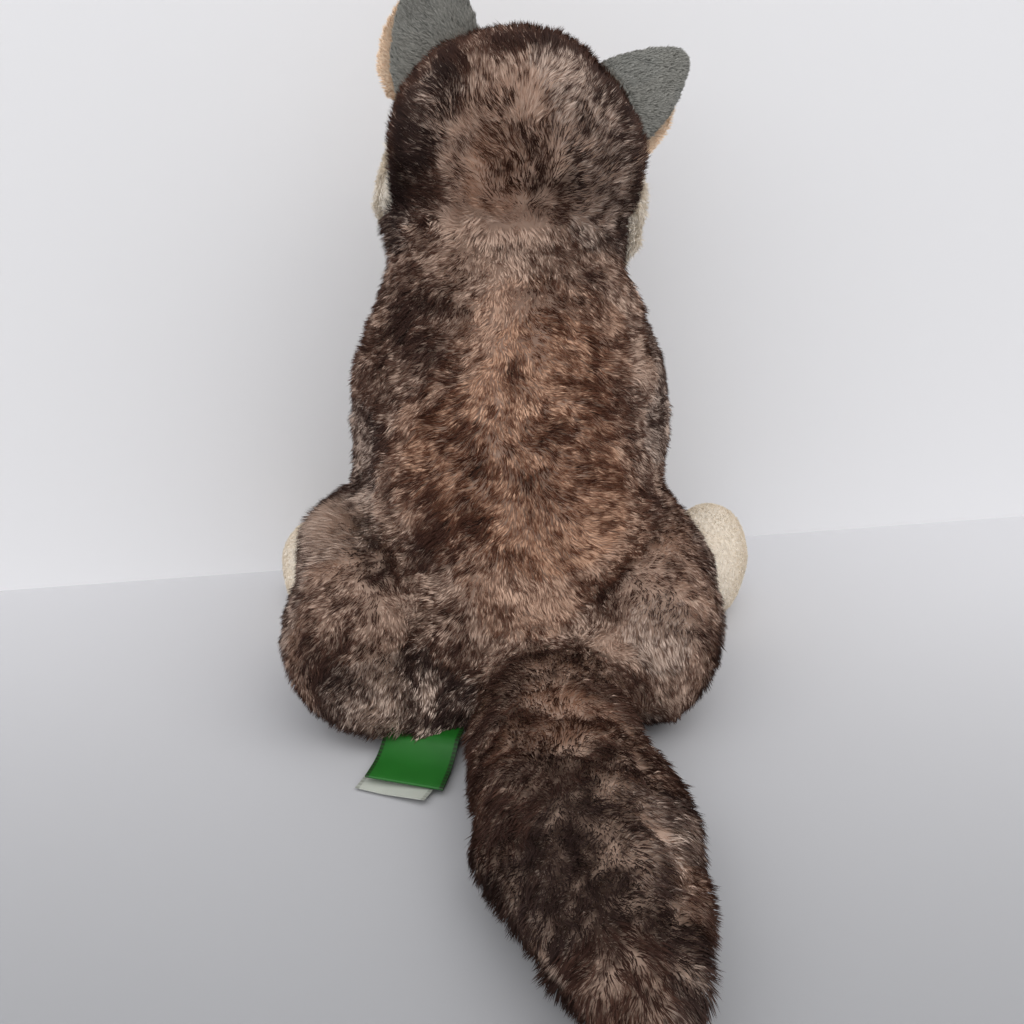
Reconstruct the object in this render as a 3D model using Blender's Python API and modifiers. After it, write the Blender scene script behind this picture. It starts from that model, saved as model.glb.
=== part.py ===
"""Sitting plush wolf, built from its sewn and stuffed pieces.

Metres, +Z up. The wolf faces -Y and its left side is +X. The origin lies on the floor.
"""

import math

import bmesh
import bpy
from mathutils import Euler, Matrix, Vector
from mathutils.bvhtree import BVHTree

# How the pieces meet and how round they are
SEAM_GAP = 0.00035
RING_SIDES = 12
SMALL_RING_SIDES = 8
END_INSET = 0.35
PLUMPNESS = 2.4
SIDEWAYS = Vector((1.0, 0.0, 0.0))
FORWARD = Vector((0.0, -1.0, 0.0))
UP = Vector((0.0, 0.0, 1.0))

# Torso: a pear shape that leans forward and a little to its right from the seat to the neck
TORSO_HEIGHT = 0.222
HIP_WIDTH = 0.132
CHEST_WIDTH = 0.118
NECK_WIDTH = 0.096
HIP_DEPTH = 0.112
CHEST_DEPTH = 0.098
NECK_DEPTH = 0.080
SEAT_OFFSET = 0.010
FORWARD_LEAN = 0.047
FORWARD_LEAN_POWER = 1.3
SIDE_LEAN = 0.005
SPINE_SEAM_DEPTH = 0.0022

# Belly: a pale panel let into the front of the torso
BELLY_WIDTH = 0.082
BELLY_THICKNESS = 0.004
BELLY_BOTTOM_RISE = 0.13
BELLY_TOP_RISE = 1.00
BELLY_SIDES = 20

# Head, on its own pivot at the top of the neck
HEAD_WIDTH = 0.109
HEAD_HEIGHT = 0.092
HEAD_DEPTH = 0.100
HEAD_SHIFT = 0.002
HEAD_FORWARD = 0.002
HEAD_SINK = 0.033
HEAD_TILT = math.radians(10.0)
HEAD_TURN = math.radians(-5.0)
HEAD_NOD = math.radians(4.0)

# Muzzle and chin: the face and the muzzle's root lie at these shares of the head's depth
FACE_SHARE = 0.44
MUZZLE_ROOT_SHARE = 0.30
MUZZLE_LENGTH = 0.040
MUZZLE_WIDTH = 0.065
MUZZLE_HEIGHT = 0.036
MUZZLE_DROP = 0.013
MUZZLE_TIP_DROP = 0.0036
MUZZLE_TIP_SHARE = 0.62
CHIN_WIDTH = 0.028
CHIN_HEIGHT = 0.022
CHIN_LENGTH = 0.044
CHIN_SHARE = 0.42
CHIN_SLOPE = 0.12

# Cheek ruffs, set in from the head's sides
CHEEK_WIDTH = 0.034
CHEEK_DEPTH = 0.052
CHEEK_HEIGHT = 0.056
CHEEK_SET_IN = 0.0115
CHEEK_DROP = 0.017
CHEEK_FORWARD = 0.016
CHEEK_SLANT_OUT = 0.25
CHEEK_SLANT_FORWARD = 0.15

# Ears: a grey back with a pale lining in front of it, set in from the head's sides and crown
EAR_LENGTH = 0.050
EAR_WIDTH = 0.041
EAR_THICKNESS = 0.0062
EAR_LINING_THICKNESS = 0.0036
EAR_LINING_SHARE = 0.90
EAR_CUP = 0.0050
EAR_SET_IN = 0.0135
EAR_SET_DOWN = 0.026
EAR_FORWARD = 0.002
EAR_ROOT = 0.014
EAR_LEFT_SPLAY = math.radians(12.0)
EAR_LEFT_LEAN = math.radians(2.0)
EAR_RIGHT_SPLAY = math.radians(34.0)
EAR_RIGHT_LEAN = math.radians(47.0)
EAR_TURN = math.radians(14.0)

# Eyes and nose: moulded plastic with a shank through the cloth
EYE_DIAMETER = 0.0125
EYE_HEIGHT = 0.0048
EYE_RIM_HEIGHT = 0.0008
EYE_BACK_HEIGHT = 0.0004
EYE_SHANK_DIAMETER = 0.0034
EYE_SHANK_LENGTH = 0.0060
EYE_SPREAD = math.radians(24.0)
EYE_ELEVATION = math.radians(10.0)
DOME_STEPS = 4
TURNING_STEPS = 12
TURNING_MERGE = 0.00005
NOSE_WIDTH = 0.0185
NOSE_HEIGHT = 0.0130
NOSE_DEPTH = 0.0105
NOSE_FLARE = 0.30
NOSE_RISE = 0.0036

# Forelegs and paws: the shoulders are set in from the chest's sides and down from the neck
SHOULDER_SET_IN = 0.012
SHOULDER_DROP = 0.082
SHOULDER_FORWARD = 0.024
UPPER_ARM_WIDTH = 0.044
UPPER_ARM_DEPTH = 0.056
ELBOW_BOW = 0.014
WRIST_WIDTH = 0.031
WRIST_SPREAD = 0.034
WRIST_HEIGHT = 0.024
WRIST_FORWARD = 0.086
PAW_LENGTH = 0.052
PAW_WIDTH = 0.038
PAW_HEIGHT = 0.028
PAW_FORWARD = 0.0083
PAW_STAND = 0.44

# Haunches: the folded hind legs beside the torso, set in from the hips' sides
HAUNCH_WIDTH = 0.076
HAUNCH_LENGTH = 0.126
HAUNCH_HEIGHT = 0.092
HAUNCH_SET_IN = 0.004
HAUNCH_BACK = 0.006
HAUNCH_LEFT_SPLAY = math.radians(5.5)
HAUNCH_RIGHT_SPLAY = math.radians(9.0)
HAUNCH_PITCH = math.radians(6.0)
HAUNCH_BEND = 0.012
HAUNCH_PLUMPNESS = 2.8
HAUNCH_STAND = 0.46

# Hind feet: each one's middle lies this far ahead of the knee and out from the haunch's middle
FOOT_LENGTH = 0.080
FOOT_WIDTH = 0.046
FOOT_LEFT_HEIGHT = 0.046
FOOT_RIGHT_HEIGHT = 0.056
FOOT_FORWARD = 0.011
FOOT_LEFT_OUT = 0.0325
FOOT_RIGHT_OUT = 0.044
FOOT_SPLAY = math.radians(18.0)
FOOT_SLOPE = 0.10
FOOT_PLUMPNESS = 2.6
FOOT_STAND = 0.48

# Tail: lies on the floor behind, and bends to the wolf's right
TAIL_LENGTH = 0.174
TAIL_WIDTH = 0.068
TAIL_THICKNESS = 0.052
TAIL_OFFSET = 0.0195
TAIL_SET_IN = 0.014
TAIL_BEND = 0.027
TAIL_BEND_POWER = 2.5
TAIL_ROOT_STAND = 0.52
TAIL_TIP_STAND = 0.40
TAIL_SEAM_DEPTH = 0.0034
TAIL_SEAM_ANGLE = math.radians(128.0)

# Labels sewn into the seam beside the tail
LABEL_WIDTH = 0.032
LABEL_LENGTH = 0.025
LABEL_THICKNESS = 0.0012
LABEL_GAP = 0.0008
LABEL_SEAM_HEIGHT = 0.0065
LABEL_DROP_LENGTH = 0.016
LABEL_TUCK = 0.022
LABEL_STEPS = 9
LABEL_SIDE = 0.032
LABEL_TURN = math.radians(12.0)
CARE_LABEL_WIDTH = 0.030
CARE_LABEL_EXTRA = 0.0060
CARE_LABEL_TURN = math.radians(20.0)

# Cloth and plastic finishes: colour, roughness
FINISHES = {
    "mottled_plush": ((0.155, 0.108, 0.088, 1.0), 0.9),
    "grey_plush": ((0.120, 0.118, 0.108, 1.0), 0.9),
    "cream_plush": ((0.620, 0.500, 0.380, 1.0), 0.9),
    "lining_plush": ((0.480, 0.350, 0.250, 1.0), 0.9),
    "brown_eye": ((0.110, 0.040, 0.012, 1.0), 0.15),
    "black_nose": ((0.012, 0.011, 0.011, 1.0), 0.35),
    "green_ribbon": ((0.014, 0.120, 0.014, 1.0), 0.5),
    "white_satin": ((0.620, 0.630, 0.590, 1.0), 0.4),
}


def new_collection(name):
    """A collection of the scene for one kind of object."""
    made = bpy.data.collections.new(name)
    bpy.context.scene.collection.children.link(made)
    return made


def finish_material(name):
    """A Principled material with the colour and roughness of one finish."""
    found = bpy.data.materials.get(name)
    if found is not None:
        return found
    colour, roughness = FINISHES[name]
    made = bpy.data.materials.new(name)
    made.use_nodes = True
    shader = made.node_tree.nodes["Principled BSDF"]
    shader.inputs["Base Color"].default_value = colour
    shader.inputs["Roughness"].default_value = roughness
    shader.inputs["Metallic"].default_value = 0.0
    made.diffuse_color = colour
    return made


def add_object(name, bm, finish, parent=None):
    """A named object of the wolf from a bmesh, which is freed."""
    bmesh.ops.recalc_face_normals(bm, faces=bm.faces)
    mesh = bpy.data.meshes.new(name)
    bm.to_mesh(mesh)
    bm.free()
    mesh.materials.append(finish_material(finish))
    mesh.shade_smooth()
    made = bpy.data.objects.new(name, mesh)
    pieces.objects.link(made)
    made.parent = parent
    return made


def soften(obj, levels=1):
    """Rounds a coarse cage."""
    modifier = obj.modifiers.new("rounding", "SUBSURF")
    modifier.levels = levels
    modifier.render_levels = levels


def ring_frame(centre, along, half_across, half_deep, sides):
    """A matrix that puts a unit circle round a path: its x runs sideways and its y behind or above.

    The rounding draws a ring in, so the ring is made larger by as much.
    """
    normal = along.normalized()
    across = (SIDEWAYS - SIDEWAYS.dot(normal) * normal).normalized()
    deep = normal.cross(across)
    larger = 6.0 / (4.0 + 2.0 * math.cos(2.0 * math.pi / sides))
    frame = Matrix.Identity(4)
    frame.col[0] = (across * half_across * larger).to_4d()
    frame.col[1] = (deep * half_deep * larger).to_4d()
    frame.col[2] = normal.to_4d()
    frame.col[3] = centre.to_4d()
    for column in range(3):
        frame.col[column][3] = 0.0
    return frame


def lofted(stations, shape=None, sides=RING_SIDES):
    """A closed cage through oval rings. shape may move a ring's unit points before they are placed."""
    bm = bmesh.new()
    loops = []
    for centre, along, half_across, half_deep in stations:
        made = bmesh.ops.create_circle(bm, segments=sides, radius=1.0)
        frame = ring_frame(centre, along, half_across, half_deep, sides)
        for vert in made["verts"]:
            point = shape(vert.co.copy(), half_across, half_deep) if shape else vert.co
            vert.co = frame @ point
        loops.append(list({edge for vert in made["verts"] for edge in vert.link_edges}))
    for first, second in zip(loops, loops[1:]):
        bmesh.ops.bridge_loops(bm, edges=first + second)
    bmesh.ops.holes_fill(bm, edges=[edge for edge in bm.edges if edge.is_boundary])
    return bm


def loft(name, stations, finish, shape=None, parent=None, place=None, sides=RING_SIDES):
    """A stuffed piece of the wolf through oval rings."""
    made = add_object(name, lofted(stations, shape, sides), finish, parent)
    if place is not None:
        made.matrix_local = place
    soften(made)
    full_forms[name] = frozen(made, SEAM_GAP)
    return made


def oval_stations(centre, along, length, width, height, plumpness=PLUMPNESS, count=7):
    """Rings of a stuffed oval that lies along a direction. A larger plumpness fills its ends."""
    stations = []
    for index in range(count):
        share = -math.cos(math.pi * (index + END_INSET) / (count - 1 + 2 * END_INSET))
        swell = (1.0 - abs(share) ** plumpness) ** (1.0 / plumpness)
        place = centre + along.normalized() * (share * length / 2.0)
        stations.append((place, along, swell * width / 2.0, swell * height / 2.0))
    return stations


def link_cutter(name, mesh):
    """A cutter object, which no render shows."""
    made = bpy.data.objects.new(name, mesh)
    cutters.objects.link(made)
    made.hide_render = True
    made.display_type = "WIRE"
    return made


def add_cutter(name, bm):
    """A cutter from a bmesh, which is freed."""
    bmesh.ops.recalc_face_normals(bm, faces=bm.faces)
    mesh = bpy.data.meshes.new(name)
    bm.to_mesh(mesh)
    bm.free()
    return link_cutter(name, mesh)


def frozen(obj, grow=0.0):
    """A copy of an object's finished mesh, grown along its normals, as a cutter."""
    bpy.context.view_layer.update()
    graph = bpy.context.evaluated_depsgraph_get()
    mesh = bpy.data.meshes.new_from_object(obj.evaluated_get(graph))
    for vert in mesh.vertices:
        vert.co += vert.normal * grow
    made = link_cutter(obj.name + "_cutter", mesh)
    made.matrix_world = obj.matrix_world
    return made


def boolean(obj, cutter, operation="DIFFERENCE"):
    """Cuts or trims an object with a cutter."""
    modifier = obj.modifiers.new(operation.lower() + "_" + cutter.name, "BOOLEAN")
    modifier.operation = operation
    modifier.object = cutter


def make_room(obj, *neighbours):
    """Cuts an object back from the full forms of its neighbours, with the seam gap between them."""
    for neighbour in neighbours:
        boolean(obj, full_forms[neighbour.name])


def block_cutter(name, low, high):
    """A box cutter between two corners."""
    bm = bmesh.new()
    middle = Matrix.Translation((low + high) / 2.0)
    size = Matrix.Diagonal(high - low).to_4x4()
    bmesh.ops.create_cube(bm, size=1.0, matrix=middle @ size)
    return add_cutter(name, bm)


def surface_hit(obj, origin, direction):
    """Where a ray in the object's own space first meets its finished surface, and the normal there."""
    bpy.context.view_layer.update()
    tree = BVHTree.FromObject(obj, bpy.context.evaluated_depsgraph_get())
    place, normal, _, _ = tree.ray_cast(origin, direction)
    return place, normal


def side_name(kind, side):
    """The name of a paired piece: side is 1 on the wolf's left and -1 on its right."""
    return kind + ("_left" if side > 0 else "_right")


# Torso and belly


def seamed(angle, depth):
    """A ring shape with a shallow groove where two cloth panels are sewn."""

    def shape(point, half_across, half_deep):
        turn = math.atan2(point.y, point.x) - angle
        turn = (turn + math.pi) % (2.0 * math.pi) - math.pi
        reach = 2.0 * math.pi / RING_SIDES
        pull = max(0.0, 1.0 - abs(turn) / reach) * depth / max(half_across, half_deep)
        return point * (1.0 - pull)

    return shape


def spine_point(rise):
    """Centre of the torso at a height, given as a share of the torso's height."""
    behind = SEAT_OFFSET - FORWARD_LEAN * rise**FORWARD_LEAN_POWER
    return Vector((-SIDE_LEAN * rise, behind, TORSO_HEIGHT * rise))


def make_torso():
    """The main stuffed body, flat where it sits."""
    # Each ring's height as a share of the torso's, its width and its depth
    profile = [
        (-0.05, 0.60 * HIP_WIDTH, 0.60 * HIP_DEPTH),
        (0.04, 0.90 * HIP_WIDTH, 0.92 * HIP_DEPTH),
        (0.19, HIP_WIDTH, HIP_DEPTH),
        (0.38, (HIP_WIDTH + CHEST_WIDTH) / 2.0, (HIP_DEPTH + CHEST_DEPTH) / 2.0),
        (0.58, CHEST_WIDTH, CHEST_DEPTH),
        (0.76, (CHEST_WIDTH + NECK_WIDTH) / 2.0, (CHEST_DEPTH + NECK_DEPTH) / 2.0),
        (0.93, NECK_WIDTH, NECK_DEPTH),
        (1.06, 0.72 * NECK_WIDTH, 0.72 * NECK_DEPTH),
    ]
    stations = []
    for rise, width, depth in profile:
        centre = spine_point(max(rise, 0.0)) + UP * TORSO_HEIGHT * min(rise, 0.0)
        stations.append((centre, UP, width / 2.0, depth / 2.0))
    groove = seamed(math.pi / 2.0, SPINE_SEAM_DEPTH)
    torso = loft("torso", stations, "mottled_plush", groove)
    boolean(torso, floor_block)
    return torso


def belly_outline(margin):
    """An oval prism through the front half of the torso, square to its leaning spine."""
    lean = math.atan2(FORWARD_LEAN, TORSO_HEIGHT)
    height = TORSO_HEIGHT * (BELLY_TOP_RISE - BELLY_BOTTOM_RISE) / math.cos(lean)
    middle = Matrix.Translation(spine_point((BELLY_TOP_RISE + BELLY_BOTTOM_RISE) / 2.0))
    ahead = Matrix.Rotation(lean, 4, "X") @ Matrix.Translation(FORWARD * HIP_DEPTH / 2.0)
    upright = Matrix.Rotation(math.pi / 2.0, 4, "X")
    oval = Matrix.Diagonal((BELLY_WIDTH / 2.0 + margin, height / 2.0 + margin, 1.0, 1.0))
    bm = bmesh.new()
    bmesh.ops.create_cone(
        bm,
        cap_ends=True,
        segments=BELLY_SIDES,
        radius1=1.0,
        radius2=1.0,
        depth=HIP_DEPTH,
        matrix=middle @ ahead @ upright @ oval,
    )
    return bm


def make_belly(torso):
    """The pale front panel: a layer of the torso's own front, inside an oval outline."""
    whole = frozen(torso)
    core = frozen(torso, -BELLY_THICKNESS)
    deeper_core = frozen(torso, -BELLY_THICKNESS - SEAM_GAP)
    belly = add_object("belly_panel", belly_outline(0.0), "cream_plush")
    boolean(belly, whole, "INTERSECT")
    boolean(belly, core)
    pocket = add_cutter("belly_pocket", belly_outline(SEAM_GAP))
    boolean(pocket, deeper_core)
    boolean(torso, pocket)
    return belly


# Head


def make_head_pivot():
    """The empty that carries the head and all that is sewn to it."""
    made = bpy.data.objects.new("head_pivot", None)
    pieces.objects.link(made)
    above_neck = Vector((-HEAD_SHIFT, -HEAD_FORWARD, HEAD_HEIGHT / 2.0 - HEAD_SINK))
    made.location = spine_point(1.0) + above_neck
    made.rotation_euler = (HEAD_NOD, -HEAD_TILT, HEAD_TURN)
    bpy.context.view_layer.update()
    return made


def make_head(pivot):
    """The stuffed head, from its back to the face."""
    # Each ring's place behind the middle, width, height and rise, as shares of the head's sizes
    profile = [
        (0.50, 0.34, 0.34, 0.00),
        (0.44, 0.66, 0.66, 0.00),
        (0.28, 0.92, 0.92, 0.01),
        (0.04, 1.00, 1.00, 0.02),
        (-0.20, 0.96, 0.94, 0.00),
        (-0.38, 0.78, 0.72, -0.04),
        (-0.50, 0.46, 0.42, -0.08),
    ]
    stations = []
    for behind, wide, tall, rise in profile:
        centre = Vector((0.0, HEAD_DEPTH * behind, HEAD_HEIGHT * rise))
        stations.append((centre, FORWARD, HEAD_WIDTH / 2.0 * wide, HEAD_HEIGHT / 2.0 * tall))
    return loft("head", stations, "mottled_plush", parent=pivot)


def make_muzzle(head, torso, pivot):
    """The muzzle with its chin, cut to fit the face."""
    root = Vector((0.0, -HEAD_DEPTH * MUZZLE_ROOT_SHARE, -MUZZLE_DROP))
    reach = HEAD_DEPTH * (FACE_SHARE - MUZZLE_ROOT_SHARE) + MUZZLE_LENGTH
    # Each ring's place along the muzzle and its size, as shares
    profile = [(0.0, 1.12), (0.35, 1.0), (0.62, 0.86), (0.86, 0.74), (0.97, 0.60), (1.0, 0.34)]
    stations = []
    for share, size in profile:
        centre = root + FORWARD * reach * share - UP * MUZZLE_TIP_DROP * share
        narrowing = 1.0 - (1.0 - MUZZLE_TIP_SHARE) * share**2
        half_width = MUZZLE_WIDTH / 2.0 * size * narrowing
        stations.append((centre, FORWARD, half_width, MUZZLE_HEIGHT / 2.0 * size))
    muzzle = loft("muzzle", stations, "cream_plush", parent=pivot, sides=SMALL_RING_SIDES)
    chin_centre = root + FORWARD * reach * CHIN_SHARE - UP * MUZZLE_HEIGHT / 2.0
    chin_along = FORWARD + UP * CHIN_SLOPE
    chin_rings = oval_stations(
        chin_centre, chin_along, CHIN_LENGTH, CHIN_WIDTH, CHIN_HEIGHT, count=6
    )
    chin = add_cutter("chin", lofted(chin_rings, sides=SMALL_RING_SIDES))
    chin.parent = pivot
    soften(chin)
    boolean(muzzle, chin, "UNION")
    make_room(muzzle, head, torso)
    return muzzle


def make_cheek(side, neighbours, pivot):
    """A pale ruff on one side of the face."""
    spread = HEAD_WIDTH / 2.0 - CHEEK_SET_IN
    centre = Vector((side * spread, -CHEEK_FORWARD, -CHEEK_DROP))
    along = UP - SIDEWAYS * side * CHEEK_SLANT_OUT - FORWARD * CHEEK_SLANT_FORWARD
    rings = oval_stations(centre, along, CHEEK_HEIGHT, CHEEK_WIDTH, CHEEK_DEPTH, count=6)
    name = side_name("cheek", side)
    cheek = loft(name, rings, "cream_plush", parent=pivot, sides=SMALL_RING_SIDES)
    make_room(cheek, *neighbours)
    return cheek


def ear_stations(length, width, thickness, forward):
    """Rings of a flat ear that rises to a round tip. forward moves the whole layer to the front."""
    # Each ring's place along the ear, its width and its thickness, as shares
    profile = [
        (0.00, 0.86, 1.0),
        (0.30, 1.00, 1.0),
        (0.58, 0.90, 1.0),
        (0.82, 0.58, 1.0),
        (0.95, 0.32, 0.7),
        (1.00, 0.16, 0.7),
    ]
    stations = []
    for share, wide, thick in profile:
        centre = Vector((0.0, -forward, length * share))
        stations.append((centre, UP, width / 2.0 * wide, thickness / 2.0 * thick))
    return stations


def cupped(depth):
    """A ring shape whose sides bend to the front, as an ear's do."""

    def shape(point, half_across, half_deep):
        bend = depth * point.x**2 * (half_across / (EAR_WIDTH / 2.0)) ** 2
        return Vector((point.x, point.y - bend / half_deep, point.z))

    return shape


def make_ear(side, splay, lean, head, pivot):
    """One ear: its grey back and its lining, cut where they are sewn to the head."""
    spread = HEAD_WIDTH / 2.0 - EAR_SET_IN
    rise = HEAD_HEIGHT / 2.0 - EAR_SET_DOWN
    base = Matrix.Translation(Vector((side * spread, -EAR_FORWARD, rise)))
    stand = Euler((lean, side * splay, side * EAR_TURN), "XYZ").to_matrix().to_4x4()
    place = base @ stand @ Matrix.Translation(-UP * EAR_ROOT)
    length = EAR_LENGTH + EAR_ROOT
    cup = cupped(EAR_CUP)
    back_rings = ear_stations(length, EAR_WIDTH, EAR_THICKNESS, 0.0)
    name = side_name("ear", side)
    back = loft(name, back_rings, "grey_plush", cup, pivot, place, SMALL_RING_SIDES)
    lining_rings = ear_stations(
        length * EAR_LINING_SHARE,
        EAR_WIDTH * EAR_LINING_SHARE,
        EAR_LINING_THICKNESS,
        (EAR_THICKNESS + EAR_LINING_THICKNESS) / 2.0 + SEAM_GAP,
    )
    name = side_name("ear_lining", side)
    lining = loft(name, lining_rings, "lining_plush", cup, pivot, place, SMALL_RING_SIDES)
    make_room(back, head)
    make_room(lining, back, head)


def turned(name, profile, finish, parent):
    """A turned piece about its own Z axis from (radius, height) points, from the top down."""
    bm = bmesh.new()
    verts = [bm.verts.new((radius, 0.0, height)) for radius, height in profile]
    for first, second in zip(verts, verts[1:]):
        bm.edges.new((first, second))
    mesh = bpy.data.meshes.new(name)
    bm.to_mesh(mesh)
    bm.free()
    mesh.materials.append(finish_material(finish))
    made = bpy.data.objects.new(name, mesh)
    pieces.objects.link(made)
    made.parent = parent
    screw = made.modifiers.new("turning", "SCREW")
    screw.steps = TURNING_STEPS
    screw.render_steps = TURNING_STEPS
    screw.use_merge_vertices = True
    screw.merge_threshold = TURNING_MERGE
    screw.use_smooth_shade = True
    return made


def make_eye(side, head, pivot):
    """A domed plastic eye on a shank, seated on the head where the sight line leaves it."""
    sight = Vector(
        (
            side * math.sin(EYE_SPREAD) * math.cos(EYE_ELEVATION),
            -math.cos(EYE_SPREAD) * math.cos(EYE_ELEVATION),
            math.sin(EYE_ELEVATION),
        )
    )
    place, normal = surface_hit(head, sight * HEAD_DEPTH * 2.0, -sight)
    facing = (normal + sight).normalized()
    radius = EYE_DIAMETER / 2.0
    shank = EYE_SHANK_DIAMETER / 2.0
    profile = []
    for index in range(DOME_STEPS + 1):
        turn = math.pi / 2.0 * index / DOME_STEPS
        profile.append((radius * math.sin(turn), EYE_HEIGHT * math.cos(turn)))
    profile.append((radius, -EYE_RIM_HEIGHT))
    profile.append((shank, -EYE_RIM_HEIGHT - EYE_BACK_HEIGHT))
    profile.append((shank, -EYE_SHANK_LENGTH))
    profile.append((0.0, -EYE_SHANK_LENGTH))
    name = side_name("eye", side)
    eye = turned(name, profile, "brown_eye", pivot)
    turn = facing.to_track_quat("Z", "Y").to_matrix().to_4x4()
    eye.matrix_local = Matrix.Translation(place) @ turn
    full_forms[name] = frozen(eye, SEAM_GAP)
    return eye


def make_nose(muzzle, pivot):
    """The nose: a rounded wedge seated on the muzzle's tip."""
    ahead = Vector((0.0, -HEAD_DEPTH - MUZZLE_LENGTH, NOSE_RISE - MUZZLE_DROP))
    place, _ = surface_hit(muzzle, ahead, -FORWARD)
    size = Matrix.Diagonal((NOSE_WIDTH / 2.0, NOSE_DEPTH / 2.0, NOSE_HEIGHT / 2.0, 1.0))
    bm = bmesh.new()
    bmesh.ops.create_uvsphere(bm, u_segments=12, v_segments=7, radius=1.0, matrix=size)
    for vert in bm.verts:
        vert.co.x *= 1.0 + NOSE_FLARE * vert.co.z / (NOSE_HEIGHT / 2.0)
    nose = add_object("nose", bm, "black_nose", pivot)
    nose.location = place
    make_room(nose, muzzle)


# Legs


def make_foreleg(side, torso, haunch):
    """One foreleg from the shoulder to the wrist, with its paw."""
    height = TORSO_HEIGHT - SHOULDER_DROP
    spread = CHEST_WIDTH / 2.0 - SHOULDER_SET_IN
    middle = spine_point(height / TORSO_HEIGHT).x
    shoulder = Vector((middle + side * spread, -SHOULDER_FORWARD, height))
    wrist = Vector((side * WRIST_SPREAD, -WRIST_FORWARD, WRIST_HEIGHT))
    paw_centre = Vector((wrist.x, wrist.y - PAW_FORWARD, PAW_HEIGHT * PAW_STAND))
    paw_rings = oval_stations(paw_centre, FORWARD, PAW_LENGTH, PAW_WIDTH, PAW_HEIGHT)
    name = side_name("forepaw", side)
    paw = loft(name, paw_rings, "cream_plush", sides=SMALL_RING_SIDES)
    boolean(paw, floor_block)
    # Each ring's place down the leg, and its width and depth from the wrist's at 0 to the arm's at 1
    profile = [
        (-0.20, 0.45, 0.42),
        (-0.10, 0.90, 0.90),
        (0.10, 1.00, 1.00),
        (0.36, 0.94, 0.84),
        (0.64, 0.52, 0.38),
        (0.90, 0.05, 0.05),
        (1.09, -0.3, -0.2),
    ]
    down = wrist - shoulder
    stations = []
    for share, wide, deep in profile:
        width = WRIST_WIDTH + (UPPER_ARM_WIDTH - WRIST_WIDTH) * wide
        depth = WRIST_WIDTH + (UPPER_ARM_DEPTH - WRIST_WIDTH) * deep
        bow = SIDEWAYS * side * ELBOW_BOW * math.sin(math.pi * min(max(share, 0.0), 1.0))
        stations.append((shoulder + down * share + bow, down, width / 2.0, depth / 2.0))
    leg = loft(side_name("foreleg", side), stations, "mottled_plush")
    make_room(leg, torso, haunch, paw)


def haunch_centre(side):
    """The middle of one folded thigh."""
    spread = HIP_WIDTH / 2.0 - HAUNCH_SET_IN
    return Vector((side * spread, HAUNCH_BACK, HAUNCH_HEIGHT * HAUNCH_STAND))


def make_haunch(side, splay, torso):
    """The folded thigh at one side of the torso, which bends outwards at the hip and the knee."""
    centre = haunch_centre(side)
    along = Vector((side * math.sin(splay), -math.cos(splay), math.sin(HAUNCH_PITCH)))
    rings = oval_stations(
        centre, along, HAUNCH_LENGTH, HAUNCH_WIDTH, HAUNCH_HEIGHT, HAUNCH_PLUMPNESS
    )
    stations = []
    for place, ahead, half_across, half_deep in rings:
        share = (place - centre).length / (HAUNCH_LENGTH / 2.0)
        bent = place + SIDEWAYS * side * HAUNCH_BEND * (share**2 - 0.3)
        stations.append((bent, ahead, half_across, half_deep))
    haunch = loft(side_name("haunch", side), stations, "mottled_plush")
    boolean(haunch, floor_block)
    make_room(haunch, torso)
    return haunch


def make_foot(side, out, height, haunch, torso):
    """A hind foot that points forward and out from under the knee."""
    knee = haunch_centre(side) + FORWARD * HAUNCH_LENGTH / 2.0
    centre = knee + SIDEWAYS * side * out + FORWARD * FOOT_FORWARD
    centre.z = height * FOOT_STAND
    along = Vector((side * math.sin(FOOT_SPLAY), -math.cos(FOOT_SPLAY), FOOT_SLOPE))
    rings = oval_stations(centre, along, FOOT_LENGTH, FOOT_WIDTH, height, FOOT_PLUMPNESS)
    foot = loft(side_name("hind_foot", side), rings, "cream_plush")
    boolean(foot, floor_block)
    make_room(foot, haunch, torso)


# Tail and labels


def tail_point(share):
    """Centre line of the tail on the floor plan, from its root at 0 to its tip at 1."""
    root = SEAT_OFFSET + HIP_DEPTH / 2.0 - TAIL_SET_IN
    bend = TAIL_BEND * max(share, 0.0) ** TAIL_BEND_POWER
    return Vector((-TAIL_OFFSET - bend, root + TAIL_LENGTH * share, 0.0))


def make_tail(torso, haunches):
    """The bushy tail, with a sewn groove along its right side."""
    # Each ring's place along the tail, its width and its thickness, as shares
    profile = [
        (0.00, 0.88, 0.80),
        (0.12, 0.96, 0.95),
        (0.32, 0.98, 1.00),
        (0.58, 1.02, 1.00),
        (0.78, 0.94, 0.96),
        (0.91, 0.74, 0.76),
        (1.00, 0.36, 0.36),
    ]
    step = 0.05
    stations = []
    for share, wide, thick in profile:
        ahead = tail_point(min(share, 1.0) + step) - tail_point(share - step)
        blend = (1.0 - math.cos(math.pi * share)) / 2.0
        stand = TAIL_ROOT_STAND + (TAIL_TIP_STAND - TAIL_ROOT_STAND) * blend
        centre = tail_point(share) + UP * TAIL_THICKNESS * stand
        stations.append((centre, ahead, TAIL_WIDTH / 2.0 * wide, TAIL_THICKNESS / 2.0 * thick))
    tail = loft("tail", stations, "mottled_plush", seamed(TAIL_SEAM_ANGLE, TAIL_SEAM_DEPTH))
    boolean(tail, floor_block)
    make_room(tail, torso, *haunches)
    return tail


def label_height(behind_seam):
    """How high a label runs behind the seat seam: it drops from the seam and lies down."""
    left = min(max(0.0, 1.0 - behind_seam / LABEL_DROP_LENGTH), 1.0)
    return (LABEL_SEAM_HEIGHT - LABEL_THICKNESS) * left**2 + LABEL_THICKNESS


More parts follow.
